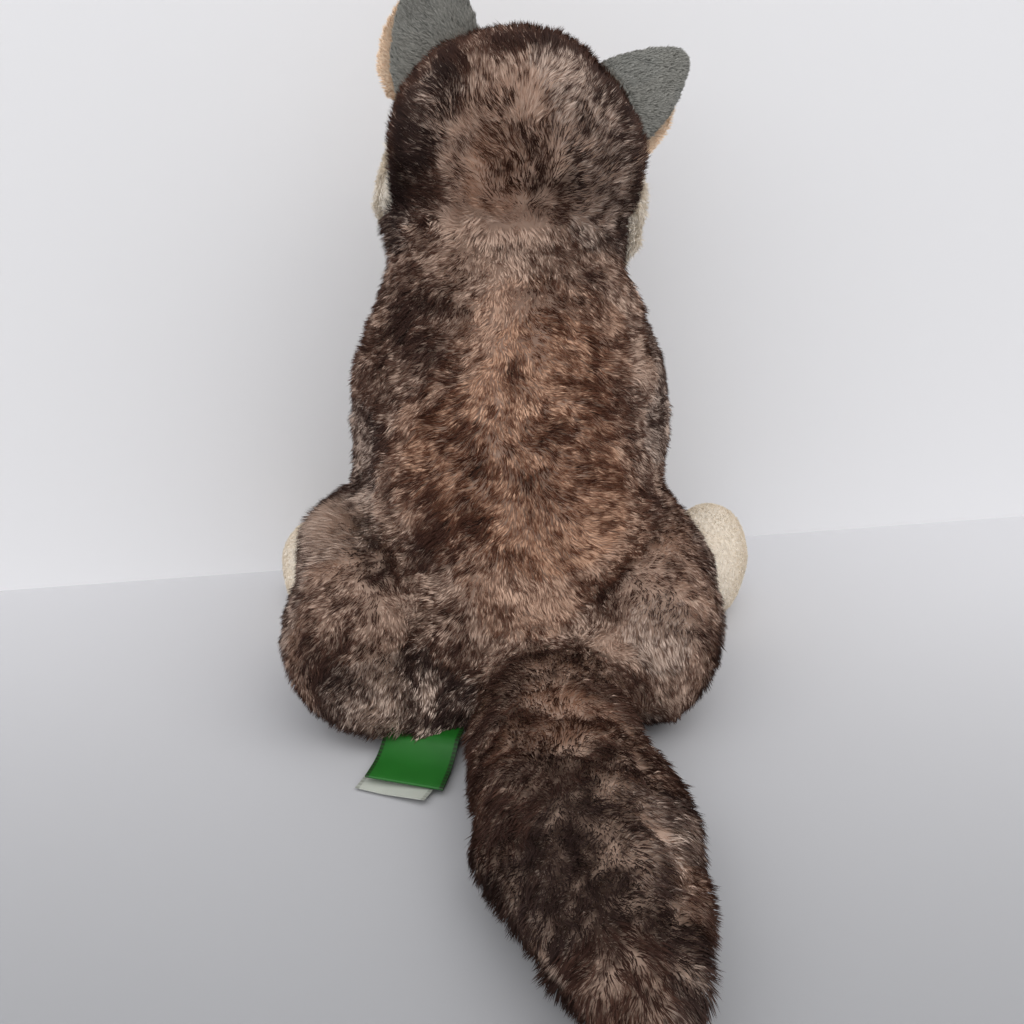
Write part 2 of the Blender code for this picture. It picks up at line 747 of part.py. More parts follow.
def make_label(name, finish, width, length, turn, layer):
    """A ribbon that comes out of the seat seam and lies nearly flat. layer counts up from the floor."""
    place = Vector((LABEL_SIDE, SEAT_OFFSET + HIP_DEPTH / 2.0, 0.0))
    swing = Matrix.Rotation(-turn, 4, "Z")
    step = (length + LABEL_TUCK) / LABEL_STEPS
    bm = bmesh.new()
    rows = []
    for index in range(LABEL_STEPS + 1):
        row = []
        for edge in (-width / 2.0, width / 2.0):
            point = swing @ Vector((edge, index * step - LABEL_TUCK, 0.0))
            point.z = label_height(point.y) + layer * (LABEL_THICKNESS + LABEL_GAP)
            row.append(bm.verts.new(place + point))
        rows.append(row)
    for first, second in zip(rows, rows[1:]):
        bm.faces.new((first[0], second[0], second[1], first[1]))
    label = add_object(name, bm, finish)
    wall = label.modifiers.new("cloth", "SOLIDIFY")
    wall.thickness = LABEL_THICKNESS
    wall.offset = 0.0
    return label


def make_labels(torso, haunch, tail):
    """A folded woven label and, under it, the longer care label."""
    care_length = LABEL_LENGTH + CARE_LABEL_EXTRA
    labels = [
        make_label("woven_label", "green_ribbon", LABEL_WIDTH, LABEL_LENGTH, LABEL_TURN, 1),
        make_label("care_label", "white_satin", CARE_LABEL_WIDTH, care_length, CARE_LABEL_TURN, 0),
    ]
    for label in labels:
        make_room(label, torso, haunch, tail)


# Build

for old in list(bpy.data.objects):
    bpy.data.objects.remove(old)
pieces = new_collection("plush_wolf")
cutters = new_collection("cutters")
full_forms = {}
floor_reach = 3.0 * TAIL_LENGTH
floor_low = Vector((-floor_reach, -floor_reach, -floor_reach))
floor_block = block_cutter("floor_block", floor_low, Vector((floor_reach, floor_reach, 0.0)))

torso = make_torso()
belly = make_belly(torso)
head_pivot = make_head_pivot()
head = make_head(head_pivot)
make_room(torso, head)
make_room(belly, head)

left_haunch = make_haunch(1, HAUNCH_LEFT_SPLAY, torso)
right_haunch = make_haunch(-1, HAUNCH_RIGHT_SPLAY, torso)
make_foreleg(1, torso, left_haunch)
make_foreleg(-1, torso, right_haunch)
make_foot(1, FOOT_LEFT_OUT, FOOT_LEFT_HEIGHT, left_haunch, torso)
make_foot(-1, FOOT_RIGHT_OUT, FOOT_RIGHT_HEIGHT, right_haunch, torso)

muzzle = make_muzzle(head, torso, head_pivot)
cheeks = [make_cheek(side, (head, muzzle, torso), head_pivot) for side in (1, -1)]
make_ear(1, EAR_LEFT_SPLAY, EAR_LEFT_LEAN, head, head_pivot)
make_ear(-1, EAR_RIGHT_SPLAY, EAR_RIGHT_LEAN, head, head_pivot)
make_nose(muzzle, head_pivot)
for side, cheek in zip((1, -1), cheeks):
    eye = make_eye(side, head, head_pivot)
    for cloth in (head, cheek, muzzle):
        make_room(cloth, eye)

tail = make_tail(torso, (left_haunch, right_haunch))
make_labels(torso, left_haunch, tail)
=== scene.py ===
"""Sitting plush wolf: its fur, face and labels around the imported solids, seen from behind."""

import itertools
import math

import bmesh
import bpy
import numpy as np
from mathutils import Matrix, Vector
from mathutils.bvhtree import BVHTree
from mathutils.kdtree import KDTree


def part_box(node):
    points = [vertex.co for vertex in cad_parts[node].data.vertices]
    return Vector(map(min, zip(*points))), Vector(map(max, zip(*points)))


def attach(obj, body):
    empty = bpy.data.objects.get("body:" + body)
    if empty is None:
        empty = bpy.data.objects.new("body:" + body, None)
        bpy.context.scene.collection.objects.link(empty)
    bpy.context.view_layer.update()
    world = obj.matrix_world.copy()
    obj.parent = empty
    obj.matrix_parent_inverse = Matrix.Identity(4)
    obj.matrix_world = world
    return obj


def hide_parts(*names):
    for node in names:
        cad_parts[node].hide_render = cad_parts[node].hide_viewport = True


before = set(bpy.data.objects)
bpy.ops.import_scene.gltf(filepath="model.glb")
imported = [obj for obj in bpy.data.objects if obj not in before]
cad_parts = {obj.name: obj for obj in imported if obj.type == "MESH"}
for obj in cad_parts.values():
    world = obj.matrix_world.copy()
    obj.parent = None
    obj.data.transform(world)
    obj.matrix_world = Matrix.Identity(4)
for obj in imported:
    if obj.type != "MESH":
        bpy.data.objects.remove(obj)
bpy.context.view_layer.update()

SEED = 20260

# Camera: behind the wolf, a little above it
CAMERA_PLACE = (0.0, 0.4175, 0.252)
CAMERA_PITCH = math.radians(22.0)
CAMERA_TURN = math.radians(0.513)
CAMERA_LENS = 35.33
CAMERA_SENSOR = 36.0

# Where the fur of each region grows from and to
HEAD_CENTRE = np.array((-0.007, -0.039, 0.235))
NOSE_TIP = np.array((-0.012, -0.122, 0.215))
NAPE_X = -0.006
FAN_SPREAD = 0.035
NECK_HEIGHT = 0.208
SPINE_X = -0.003
SPINE_SPREAD = 0.030
MIDDLE_OF_BACK = 0.128
MIDDLE_SPREAD = 0.036
TAIL_X = -0.0195
TAIL_SWAY = 0.027
TAIL_ROOT_Y = 0.052
TAIL_LENGTH = 0.174
TAIL_HALF_WIDTH = 0.034
TAIL_TONE = 0.24
TAIL_CONTRAST = 0.60

# UV rows: each warmth of the fur has its own row, in which v runs from root to tip
WARMTH_ROWS = 4
ROW_INSET = 0.1
HAIR_HALF_U = 0.006
# The cloth under the fur takes one row's colour at this share of a hair: it follows the coat's
# mottling and is partly dyed where the tone is dark, as painted shade deep in the pile
CLOTH_ROW = 1.0
CLOTH_SHADE_ALONG = 0.34
CLOTH_SLIVER = 0.01
# Where the dye begins on the darkest hairs, as a share of their length, and how soft its edge is
DYE_START = 0.15
DYE_BLUR = 0.16

# How near the floor cloth and hairs may come, and how low no fur grows on cloth that faces down
CLOTH_CLEARANCE = 0.0004
HAIR_CLEARANCE = 0.0003
BARE_HEIGHT = 0.003
BARE_FACING = -0.6

# The mottled pieces are sewn into one body: its voxels, smoothing and the valleys at its seams
SEWN_VOXEL = 0.003
SEWN_ROUNDS = 6
SEAM_FILLET = 0.007
# Cloth nearer to the sewn body than the first is drawn onto it, and farther than the second isn't
SEAM_REACH = (0.009, 0.016)
# How much deeper than its own cloth a root may lie in the sewn body and still grow a hair
ROOT_DEPTH = 0.0015
# How far past its own cloth a root is tried for another piece that covers it
COVER_REACH = 0.0005
WELD_DISTANCE = 0.00002


# Numbers that vary smoothly over the cloth


def hashed(cells, seed):
    """A number from 0 to 1 for each whole-numbered cell."""
    mixed = cells[:, 0] * 73856093 ^ cells[:, 1] * 19349663 ^ cells[:, 2] * 83492791 ^ seed * 40503
    mixed = (mixed ^ (mixed >> 13)) * 1274126177 & 0xFFFFFFFF
    return ((mixed ^ (mixed >> 16)) & 0xFFFFFF) / float(0x1000000)


def drift(places, size, seed):
    """Smooth noise from 0 to 1 whose patches are about that size."""
    scaled = places / size + 1000.0
    cells = np.floor(scaled).astype(np.int64)
    part = scaled - cells
    part = part * part * (3.0 - 2.0 * part)
    total = np.zeros(len(places))
    for corner in itertools.product((0, 1), repeat=3):
        weight = np.ones(len(places))
        for axis in range(3):
            weight = weight * (part[:, axis] if corner[axis] else 1.0 - part[:, axis])
        total += weight * hashed(cells + np.array(corner), seed)
    return total


def wobble(places, size, layer):
    """Smooth noise from -1 to 1, of which each layer is another one."""
    return (drift(places, size, SEED + layer) - 0.5) * 2.0


def smooth(low, high, value):
    """0 below low, 1 above high and a soft step between."""
    share = np.clip((value - low) / (high - low), 0.0, 1.0)
    return share * share * (3.0 - 2.0 * share)


def unit(vectors):
    """The vectors at a length of one."""
    return vectors / np.maximum(np.linalg.norm(vectors, axis=1, keepdims=True), 1e-9)


def turned_about(vectors, axes, angles):
    """The vectors turned about unit axes."""
    cosine = np.cos(angles)[:, None]
    sine = np.sin(angles)[:, None]
    along = (vectors * axes).sum(1, keepdims=True) * axes
    return vectors * cosine + np.cross(axes, vectors) * sine + along * (1.0 - cosine)


# Materials


class Value:
    """One number in a material, which takes Python's operators."""

    def __init__(self, look, socket):
        self.look = look
        self.socket = socket

    def maths(self, operation, first, second):
        """A sum, product or the like, by a node of its own."""
        made = self.look.add("ShaderNodeMath", {"operation": operation}, {0: first, 1: second})
        return Value(self.look, made.outputs[0])

    def __add__(self, other):
        return self.maths("ADD", self, other)

    def __sub__(self, other):
        return self.maths("SUBTRACT", self, other)

    def __rsub__(self, other):
        return self.maths("SUBTRACT", other, self)

    def __mul__(self, other):
        return self.maths("MULTIPLY", self, other)

    def __truediv__(self, other):
        return self.maths("DIVIDE", self, other)

    def floor(self):
        return self.maths("FLOOR", self, 0.0)

    def fraction(self):
        return self.maths("FRACT", self, 0.0)

    def sine(self):
        return self.maths("SINE", self, 0.0)

    def step(self, low, high):
        """A soft step from 0 at low to 1 at high."""
        made = self.look.add(
            "ShaderNodeMapRange",
            {"interpolation_type": "SMOOTHSTEP"},
            {"Value": self, "From Min": low, "From Max": high, "To Min": 0.0, "To Max": 1.0},
        )
        return Value(self.look, made.outputs["Result"])


class Look:
    """A Principled material that is built up node by node."""

    def __init__(self, name, **sockets):
        self.material = bpy.data.materials.new(name)
        self.material.use_nodes = True
        self.tree = self.material.node_tree
        self.shader = self.tree.nodes["Principled BSDF"]
        self.set(self.shader, {key.replace("_", " "): value for key, value in sockets.items()})

    def set(self, node, inputs):
        """Gives a node's sockets their values or links."""
        for key, value in inputs.items():
            socket = node.inputs[key]
            if isinstance(value, Value):
                self.tree.links.new(value.socket, socket)
            elif isinstance(value, bpy.types.NodeSocket):
                self.tree.links.new(value, socket)
            else:
                socket.default_value = value

    def add(self, kind, settings, inputs):
        """A node with its settings, and then the values or links of its sockets."""
        made = self.tree.nodes.new(kind)
        for key, value in settings.items():
            if key == "stops":
                while len(made.color_ramp.elements) < len(value):
                    made.color_ramp.elements.new(0.5)
                for element, (place, colour) in zip(made.color_ramp.elements, value):
                    element.position = place
                    element.color = (*colour, 1.0)
            else:
                setattr(made, key, value)
        self.set(made, inputs)
        return made

    def mix(self, share, first, second):
        """A blend of two colours."""
        made = self.add(
            "ShaderNodeMix",
            {"data_type": "RGBA"},
            {"Factor": share, 6: full(first), 7: full(second)},
        )
        return made.outputs[2]

    def split(self, vector):
        """The three numbers of a vector."""
        made = self.add("ShaderNodeSeparateXYZ", {}, {0: vector})
        return [Value(self, made.outputs[index]) for index in range(3)]

    def map(self, name):
        """The piece's own UV map of that name."""
        return self.add("ShaderNodeUVMap", {"uv_map": name}, {}).outputs[0]

    def place(self):
        """Object coordinates."""
        return self.add("ShaderNodeTexCoord", {}, {}).outputs["Object"]

    def noise(self, vector, scale, detail=2.0):
        """Noise of a scale in cycles per metre."""
        made = self.add(
            "ShaderNodeTexNoise", {}, {"Vector": vector, "Scale": scale, "Detail": detail}
        )
        return Value(self, made.outputs["Fac"])

    def bump(self, height, distance, strength=1.0):
        """Drives the surface's normal from a height."""
        made = self.add(
            "ShaderNodeBump", {}, {"Height": height, "Distance": distance, "Strength": strength}
        )
        self.set(self.shader, {"Normal": made.outputs[0]})

    def colour(self, value):
        """Gives the surface its colour."""
        self.set(self.shader, {"Base Color": value})


def full(colour):
    """A colour with its alpha, or a link as it is."""
    return (*colour, 1.0) if isinstance(colour, tuple) else colour


def srgb(red, green, blue):
    """A colour from its screen values, 0 to 255."""

    def linear(value):
        share = value / 255.0
        return share / 12.92 if share <= 0.04045 else ((share + 0.055) / 1.055) ** 2.4

    return tuple(linear(value) for value in (red, green, blue))


def plush_look(name, pale, dark, deep, warm_pale, warm_dark, warm_deep):
    """Fur whose tips are dyed: u is the tone, from dark to pale, and v runs from root to tip."""
    look = Look(name, Roughness=0.7, Specular_IOR_Level=0.15)
    tone, row, _ = look.split(look.map("OFBake"))
    rows = row * WARMTH_ROWS
    warmth = rows.floor() / (WARMTH_ROWS - 1)
    along = (rows.fraction() - ROW_INSET) / (1.0 - 2.0 * ROW_INSET)
    start = tone * 0.95 + DYE_START + tone.step(0.70, 0.95) * 0.2
    dyed = along.step(start - DYE_BLUR, start + DYE_BLUR)
    hair = look.mix(warmth, pale, warm_pale)
    darkest = look.mix(warmth, deep, warm_deep)
    usual = look.mix(warmth, dark, warm_dark)
    tip = look.mix(tone.step(0.05, 0.60), darkest, usual)
    look.colour(look.mix(dyed, hair, tip))
    return look.material


# Cloth skins


def only(obj):
    """Selects one object and makes it active."""
    bpy.ops.object.select_all(action="DESELECT")
    obj.select_set(True)
    bpy.context.view_layer.objects.active = obj


def finish_modifiers(obj):
    """Applies every modifier of an object."""
    only(obj)
    for modifier in list(obj.modifiers):
        bpy.ops.object.modifier_apply(modifier=modifier.name)


def arrays_of(mesh):
    """The points, triangles and point normals of a mesh."""
    mesh.calc_loop_triangles()
    points = np.empty(len(mesh.vertices) * 3)
    mesh.vertices.foreach_get("co", points)
    normals = np.empty(len(mesh.vertices) * 3)
    mesh.vertices.foreach_get("normal", normals)
    faces = np.empty(len(mesh.loop_triangles) * 3, np.int32)
    mesh.loop_triangles.foreach_get("vertices", faces)
    return points.reshape(-1, 3), faces.reshape(-1, 3), normals.reshape(-1, 3)


def face_normals(points, faces):
    """Each triangle's normal, as long as twice its area."""
    corners = points[faces]
    return np.cross(corners[:, 1] - corners[:, 0], corners[:, 2] - corners[:, 0])


def point_normals(points, faces):
    """The normal at each point of a triangle mesh."""
    facing = face_normals(points, faces)
    normals = np.zeros_like(points)
    for corner in range(3):
        for axis in range(3):
            normals[:, axis] += np.bincount(faces[:, corner], facing[:, axis], len(points))
    return unit(normals)


def evened(nodes, voxel, rounds, fillet=0.0):
    """The outside of some solids as one even mesh, with soft valleys where they meet."""
    bm = bmesh.new()
    for node in nodes:
        bm.from_mesh(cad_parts[node].data)
    bmesh.ops.remove_doubles(bm, verts=bm.verts, dist=WELD_DISTANCE)
    mesh = bpy.data.meshes.new("skin")
    bm.to_mesh(mesh)
    bm.free()
    skin = bpy.data.objects.new("skin", mesh)
    bpy.context.scene.collection.objects.link(skin)
    steps = [("REMESH", voxel)]
    if fillet:
        steps += [("DISPLACE", fillet), ("REMESH", voxel)]
        steps += [("SMOOTH", rounds), ("DISPLACE", -fillet)]
    for kind, value in steps + [("SMOOTH", rounds)]:
        modifier = skin.modifiers.new("even", kind)
        if kind == "REMESH":
            modifier.mode = "VOXEL"
            modifier.voxel_size = value
        elif kind == "DISPLACE":
            modifier.mid_level = 0.0
            modifier.strength = value
        else:
            modifier.iterations = value
    finish_modifiers(skin)
    points, faces, _ = arrays_of(skin.data)
    bpy.data.objects.remove(skin)
    return points, faces


def nearest_on(places, surface):
    """The nearest point of a surface to each place, its normal there and how far it is."""
    found = [surface.find_nearest(place) for place in places]
    return (
        np.array([hit[0] for hit in found]),
        np.array([hit[1] for hit in found]),
        np.array([hit[3] for hit in found]),
    )


def level(normals, places):
    """The normals, turned level near the floor, where filling can only spread sideways."""
    turned = normals.copy()
    turned[:, 2] *= smooth(0.0, 0.03, places[:, 2])
    return unit(turned)


def cloth_skin(solid, inset, body):
    """The cloth under a piece's fur: its solid's surface, drawn to the sewn body and set in."""
    points, faces = solid
    normals = point_normals(points, faces)
    puffed = marked(points, PUFFS)[:, None]
    skin = points - normals * inset + level(normals, points) * puffed
    if body is not None:
        nearest, facing, away = nearest_on(points, body)
        drawn = (1.0 - smooth(*SEAM_REACH, away))[:, None]
        sewn = nearest - facing * inset + level(facing, points) * puffed
        skin = skin * (1.0 - drawn) + sewn * drawn
    skin[:, 2] = np.maximum(skin[:, 2], CLOTH_CLEARANCE)
    return skin, faces, point_normals(skin, faces)


# Fur


def scattered(points, faces, normals, per_mm2, rng):
    """Random places on a skin, with their normals."""
    area = np.linalg.norm(face_normals(points, faces), axis=1) / 2.0
    count = int(area.sum() * 1e6 * per_mm2)
    heaps = np.cumsum(area) / area.sum()
    chosen = np.searchsorted(heaps, (np.arange(count) + rng.random(count)) / count)
    chosen = np.minimum(chosen, len(faces) - 1)
    first = np.sqrt(rng.random(count))
    second = rng.random(count)
    shares = np.stack([1.0 - first, first * (1.0 - second), first * second], 1)
    roots = (points[faces[chosen]] * shares[:, :, None]).sum(1)
    outward = unit((normals[faces[chosen]] * shares[:, :, None]).sum(1))
    return roots, outward


def inside(places, solids):
    """Which places lie inside some closed solids."""
    nearest, facing, _ = nearest_on(places, solids)
    return ((places - nearest) * facing).sum(1) < 0.0


def gathered(roots, coat, rng):
    """For each hair, the hair at the middle of its tuft."""
    leaders = rng.choice(len(roots), max(len(roots) // coat["tuft_hairs"], 1), replace=False)
    tree = KDTree(len(leaders))
    for order, leader in enumerate(leaders):
        tree.insert(roots[leader], order)
    tree.balance()
    return leaders[np.array([tree.find(root)[1] for root in roots])]


def blades(roots, outward, nap, coat, rng, leaders):
    """Bent hairs of two triangles each: root, both sides at the bend, and tip."""
    count = len(roots)
    tangent = unit(nap - (nap * outward).sum(1, keepdims=True) * outward)
    swirl = wobble(roots, 0.016, 1) * coat["swirl"]
    swirl += wobble(roots, 0.006, 11) * coat["ruffle"]
    tangent = turned_about(tangent, outward, swirl + rng.normal(0.0, coat["stray"], count))
    length = coat["length"] * (0.80 + 0.25 * rng.random(count))
    length *= 0.85 + 0.3 * drift(roots, 0.009, SEED + 2)
    longer = marked(roots, TUFTS)
    length *= 1.0 + longer
    lift = wobble(roots, 0.012, 3) * coat["lift_drift"] + 0.3 * longer
    lift += wobble(roots, 0.005, 12) * 0.4 * coat["ruffle"]
    lift += rng.normal(0.0, coat["lift_stray"], count)
    low = np.clip(coat["lift_root"] + lift, 0.15, 1.5)
    high = np.clip(coat["lift_tip"] + lift, 0.05, 1.45)
    first = tangent * np.cos(low)[:, None] + outward * np.sin(low)[:, None]
    second = tangent * np.cos(high)[:, None] + outward * np.sin(high)[:, None]
    bend = roots + first * (length * 0.5)[:, None]
    tip = bend + second * (length * 0.5)[:, None]
    near = np.linalg.norm(roots[leaders] - roots, axis=1) < coat["length"]
    pull = np.minimum(coat["tuft"] * (0.4 + 1.2 * rng.random(count)), 0.95) * near
    tip = tip + pull[:, None] * (tip[leaders] - tip)
    bend = bend + 0.35 * pull[:, None] * (bend[leaders] - bend)
    along = unit(tip - roots)
    flat = unit(np.cross(along, outward))
    side = turned_about(flat, along, rng.normal(0.0, coat["twist"], count))
    half = side * (coat["width"] * 0.5 * (0.75 + 0.5 * rng.random(count)))[:, None]
    hair = np.stack([roots, bend - half, bend + half, tip], 1)
    hair[:, :, 2] = np.maximum(hair[:, :, 2], HAIR_CLEARANCE)
    return hair


HAIR_TRIANGLES = np.array([(0, 2, 1), (1, 2, 3)])
HAIR_ALONG = np.array([0.0, 0.5, 0.5, 1.0])
HAIR_ACROSS = np.array([0.0, -1.0, 1.0, 0.0])


def furred(name, skin, hair, cloth_tones, tones, warmths, look):
    """One piece: cloth and hairs in one mesh, with the UV map that their colours follow."""
    points, faces, _ = skin
    starts = len(points) + 4 * np.arange(len(hair))
    hairs = (starts[:, None, None] + HAIR_TRIANGLES).reshape(-1, 3)
    everything = np.concatenate([points, hair.reshape(-1, 3)])
    corners = np.concatenate([faces, hairs]).astype(np.int32)
    mesh = bpy.data.meshes.new(name)
    mesh.vertices.add(len(everything))
    mesh.vertices.foreach_set("co", everything.astype(np.float32).reshape(-1))
    mesh.loops.add(corners.size)
    mesh.loops.foreach_set("vertex_index", corners.reshape(-1))
    mesh.polygons.add(len(corners))
    mesh.polygons.foreach_set("loop_start", np.arange(0, corners.size, 3, dtype=np.int32))
    mesh.update(calc_edges=True)
    mesh.polygons.foreach_set("use_smooth", np.ones(len(corners), bool))

    row = np.clip((warmths * WARMTH_ROWS).astype(int), 0, WARMTH_ROWS - 1)
    triangles = HAIR_TRIANGLES.reshape(-1)
    used = 1.0 - 2.0 * ROW_INSET
    u = tones[:, None] + HAIR_HALF_U * HAIR_ACROSS[triangles]
    v = (row[:, None] + ROW_INSET + used * HAIR_ALONG[triangles]) / WARMTH_ROWS
    hair_uv = np.stack([u.reshape(-1), v.reshape(-1)], 1)
    # Painted shade: the cloth takes a hair's colour a third of the way up, so it is darker under
    # dark patches
    under = (CLOTH_ROW + ROW_INSET + CLOTH_SHADE_ALONG * used) / WARMTH_ROWS
    cloth_v = np.tile([under, under, under + CLOTH_SLIVER], len(faces))
    cloth_uv = np.stack([cloth_tones[faces.reshape(-1)], cloth_v], 1)
    layer = mesh.uv_layers.new(name="OFBake")
    uv = np.concatenate([cloth_uv, hair_uv]).astype(np.float32)
    layer.data.foreach_set("uv", uv.reshape(-1))
    mesh.materials.append(look)
    made = bpy.data.objects.new(name, mesh)
    bpy.context.scene.collection.objects.link(made)
    return made


# Nap: the way the pile lies on each piece


def above_parting(places):
    """1 above the wavy parting at the neck, where the fur turns up, and 0 below it."""
    waves = 0.008 * wobble(places, 0.014, 13) + 0.009 * wobble(places, 0.0035, 14)
    return smooth(-0.002, 0.002, places[:, 2] - NECK_HEIGHT - waves)[:, None]


def fanned(places, up):
    """Out to both sides of the nape, and up or down."""
    out = (places[:, 0] - NAPE_X) / FAN_SPREAD
    return unit(np.stack([out, np.zeros_like(out), np.full_like(out, up)], 1))


def nap_of_torso(places):
    """Down the back, out from the spine at its middle, and up above the neck's parting."""
    away = np.clip((places[:, 0] - SPINE_X) / SPINE_SPREAD, -1.0, 1.0)
    middle = np.exp(-(((places[:, 2] - MIDDLE_OF_BACK) / MIDDLE_SPREAD) ** 2))
    down = np.stack([away * (0.45 + 1.5 * middle), np.zeros_like(away), -1.0 + 0.25 * middle], 1)
    above = above_parting(places)
    return unit(down) * (1.0 - above) + fanned(places, 1.0) * above


def nap_of_head(places):
    """Up and out like a fan over the back of the head, and back from the nose over the face."""
    back = smooth(-0.055, -0.020, places[:, 1])[:, None]
    above = above_parting(places)
    behind = fanned(places, 1.0) * above + fanned(places, -1.0) * (1.0 - above)
    return behind * back + nap_of_face(places) * (1.0 - back)


def nap_of_face(places):
    """Back from the nose."""
    return unit(places - NOSE_TIP)


def nap_of_ear(places):
    """Out from the head to the ear's tip."""
    return unit(places - HEAD_CENTRE)


def nap_of_haunch(places):
    """Down and out over the thigh."""
    side = np.sign(places[:, 0])
    return np.stack([0.35 * side, np.full_like(side, 0.80), np.full_like(side, -0.75)], 1)


def nap_of_leg(places):
    """Down the foreleg."""
    return np.tile([0.0, -0.35, -1.0], (len(places), 1))


def nap_of_foot(places):
    """Back from the toes."""
    return np.tile([0.0, 1.0, 0.25], (len(places), 1))


def nap_of_tail(places):
    """Along the tail to its tip, and down at both sides."""
    along = np.clip((places[:, 1] - TAIL_ROOT_Y) / TAIL_LENGTH, 0.0, 1.0)
    middle = TAIL_X - TAIL_SWAY * along**2.5
    away = np.clip((places[:, 0] - middle) / TAIL_HALF_WIDTH, -1.0, 1.0)
    return np.stack([0.45 * away - 0.12, np.ones(len(places)), -0.15 - 0.3 * np.abs(away)], 1)


# Places of the coat that are paler (above 0) or darker (below 0): x, y, z, radius, amount
COAT_MARKS = np.array([
    # Head
    (0.037, -0.006, 0.236, 0.020, -0.75), (0.045, -0.020, 0.215, 0.016, -0.60),
    (0.030, 0.004, 0.222, 0.012, -0.50), (-0.014, -0.011, 0.276, 0.014, -0.35),
    (0.020, -0.010, 0.272, 0.014, -0.30), (0.001, 0.008, 0.254, 0.014, 0.45),
    (-0.022, 0.009, 0.251, 0.016, 0.45), (0.009, 0.009, 0.224, 0.011, 0.30),
    (-0.020, 0.010, 0.225, 0.016, -0.35), (-0.050, -0.008, 0.225, 0.014, 0.12),
    # Neck
    (0.015, 0.001, 0.210, 0.010, 0.60), (-0.008, 0.004, 0.209, 0.010, 0.60),
    (-0.031, -0.001, 0.207, 0.010, 0.30),
    # Shoulders and sides
    (0.025, -0.002, 0.192, 0.014, -0.05), (0.043, -0.002, 0.169, 0.016, -0.35),
    (0.056, 0.002, 0.145, 0.016, 0.15), (0.062, -0.010, 0.107, 0.020, 0.20),
    (-0.062, 0.002, 0.136, 0.020, 0.38), (-0.068, -0.014, 0.107, 0.020, 0.30),
    # Back
    (-0.001, 0.009, 0.195, 0.009, 0.55), (0.001, 0.017, 0.177, 0.009, 0.55),
    (0.003, 0.022, 0.162, 0.009, 0.50), (-0.004, 0.025, 0.155, 0.005, -0.90),
    (0.001, 0.028, 0.147, 0.009, 0.35), (-0.035, 0.014, 0.164, 0.014, -0.10),
    (-0.040, 0.019, 0.145, 0.012, -0.25), (-0.023, 0.030, 0.130, 0.020, -0.35),
    (0.001, 0.038, 0.115, 0.007, 0.40), (-0.005, 0.042, 0.103, 0.007, 0.45),
    (0.030, 0.030, 0.130, 0.022, -0.12), (0.026, 0.037, 0.104, 0.010, -0.60),
    (0.009, 0.043, 0.097, 0.008, -0.60), (0.034, 0.038, 0.086, 0.010, -0.55),
    (-0.019, 0.043, 0.093, 0.014, 0.30), (-0.027, 0.044, 0.080, 0.014, 0.40),
    (-0.007, 0.048, 0.082, 0.006, -0.45), (0.009, 0.050, 0.074, 0.009, 0.50),
    (-0.059, 0.017, 0.086, 0.012, -0.35),
    # Haunches and seat
    (0.080, 0.002, 0.082, 0.018, 0.70), (0.094, -0.010, 0.070, 0.012, 0.60),
    (0.068, 0.018, 0.084, 0.014, 0.60), (0.070, 0.040, 0.080, 0.010, 0.50),
    (0.062, 0.058, 0.050, 0.028, -0.18), (0.055, 0.045, 0.071, 0.014, -0.45),
    (0.048, 0.045, 0.076, 0.008, -0.25), (0.074, 0.066, 0.037, 0.018, -0.30),
    (0.042, 0.051, 0.065, 0.012, 0.50), (0.039, 0.053, 0.024, 0.014, 0.05),
    (-0.067, 0.062, 0.062, 0.010, -0.10), (-0.076, 0.065, 0.036, 0.014, 0.40),
    (-0.059, 0.065, 0.055, 0.012, 0.45), (-0.079, 0.032, 0.075, 0.014, 0.35),
    (0.022, 0.053, 0.048, 0.012, -0.05), (0.022, 0.054, 0.020, 0.014, -0.40),
    (0.005, 0.056, 0.049, 0.007, 0.60), (-0.023, 0.050, 0.062, 0.012, 0.75),
    (-0.005, 0.050, 0.066, 0.010, 0.55), (-0.047, 0.060, 0.050, 0.014, 0.55),
    (-0.062, 0.059, 0.013, 0.014, 0.35),
    # Tail
    (-0.022, 0.074, 0.050, 0.010, -0.20), (-0.028, 0.102, 0.051, 0.015, 0.12),
    (-0.004, 0.093, 0.046, 0.012, -0.40), (-0.012, 0.136, 0.048, 0.014, -0.28),
    (0.004, 0.157, 0.032, 0.020, -0.35), (-0.017, 0.176, 0.045, 0.020, -0.35),
    (-0.034, 0.185, 0.046, 0.014, -0.20), (-0.052, 0.140, 0.040, 0.008, 0.25),
    (-0.052, 0.160, 0.040, 0.008, 0.30), (-0.051, 0.180, 0.039, 0.008, 0.30),
    (-0.051, 0.192, 0.041, 0.012, 0.10), (-0.055, 0.207, 0.030, 0.010, -0.10),
    (-0.011, 0.197, 0.034, 0.016, -0.30), (-0.031, 0.214, 0.036, 0.008, 0.25),
    (-0.045, 0.120, 0.042, 0.014, -0.20), (-0.045, 0.215, 0.030, 0.014, -0.20),
    (-0.067, 0.150, 0.026, 0.012, 0.60), (-0.064, 0.180, 0.026, 0.012, 0.50),
    (-0.010, 0.130, 0.030, 0.050, -0.25), (-0.025, 0.200, 0.030, 0.045, -0.30),
    (0.010, 0.100, 0.020, 0.016, -0.25),
])
# Places of the coat that are browner: x, y, z, radius, amount
WARM_MARKS = np.array([
    (0.020, 0.035, 0.125, 0.034, 0.80), (-0.025, 0.035, 0.105, 0.036, 0.85),
    (-0.020, 0.015, 0.160, 0.034, 0.60), (0.0, 0.01, 0.225, 0.022, 0.35),
    (-0.025, 0.110, 0.050, 0.028, 0.55), (0.0, 0.052, 0.060, 0.024, 0.30),
])

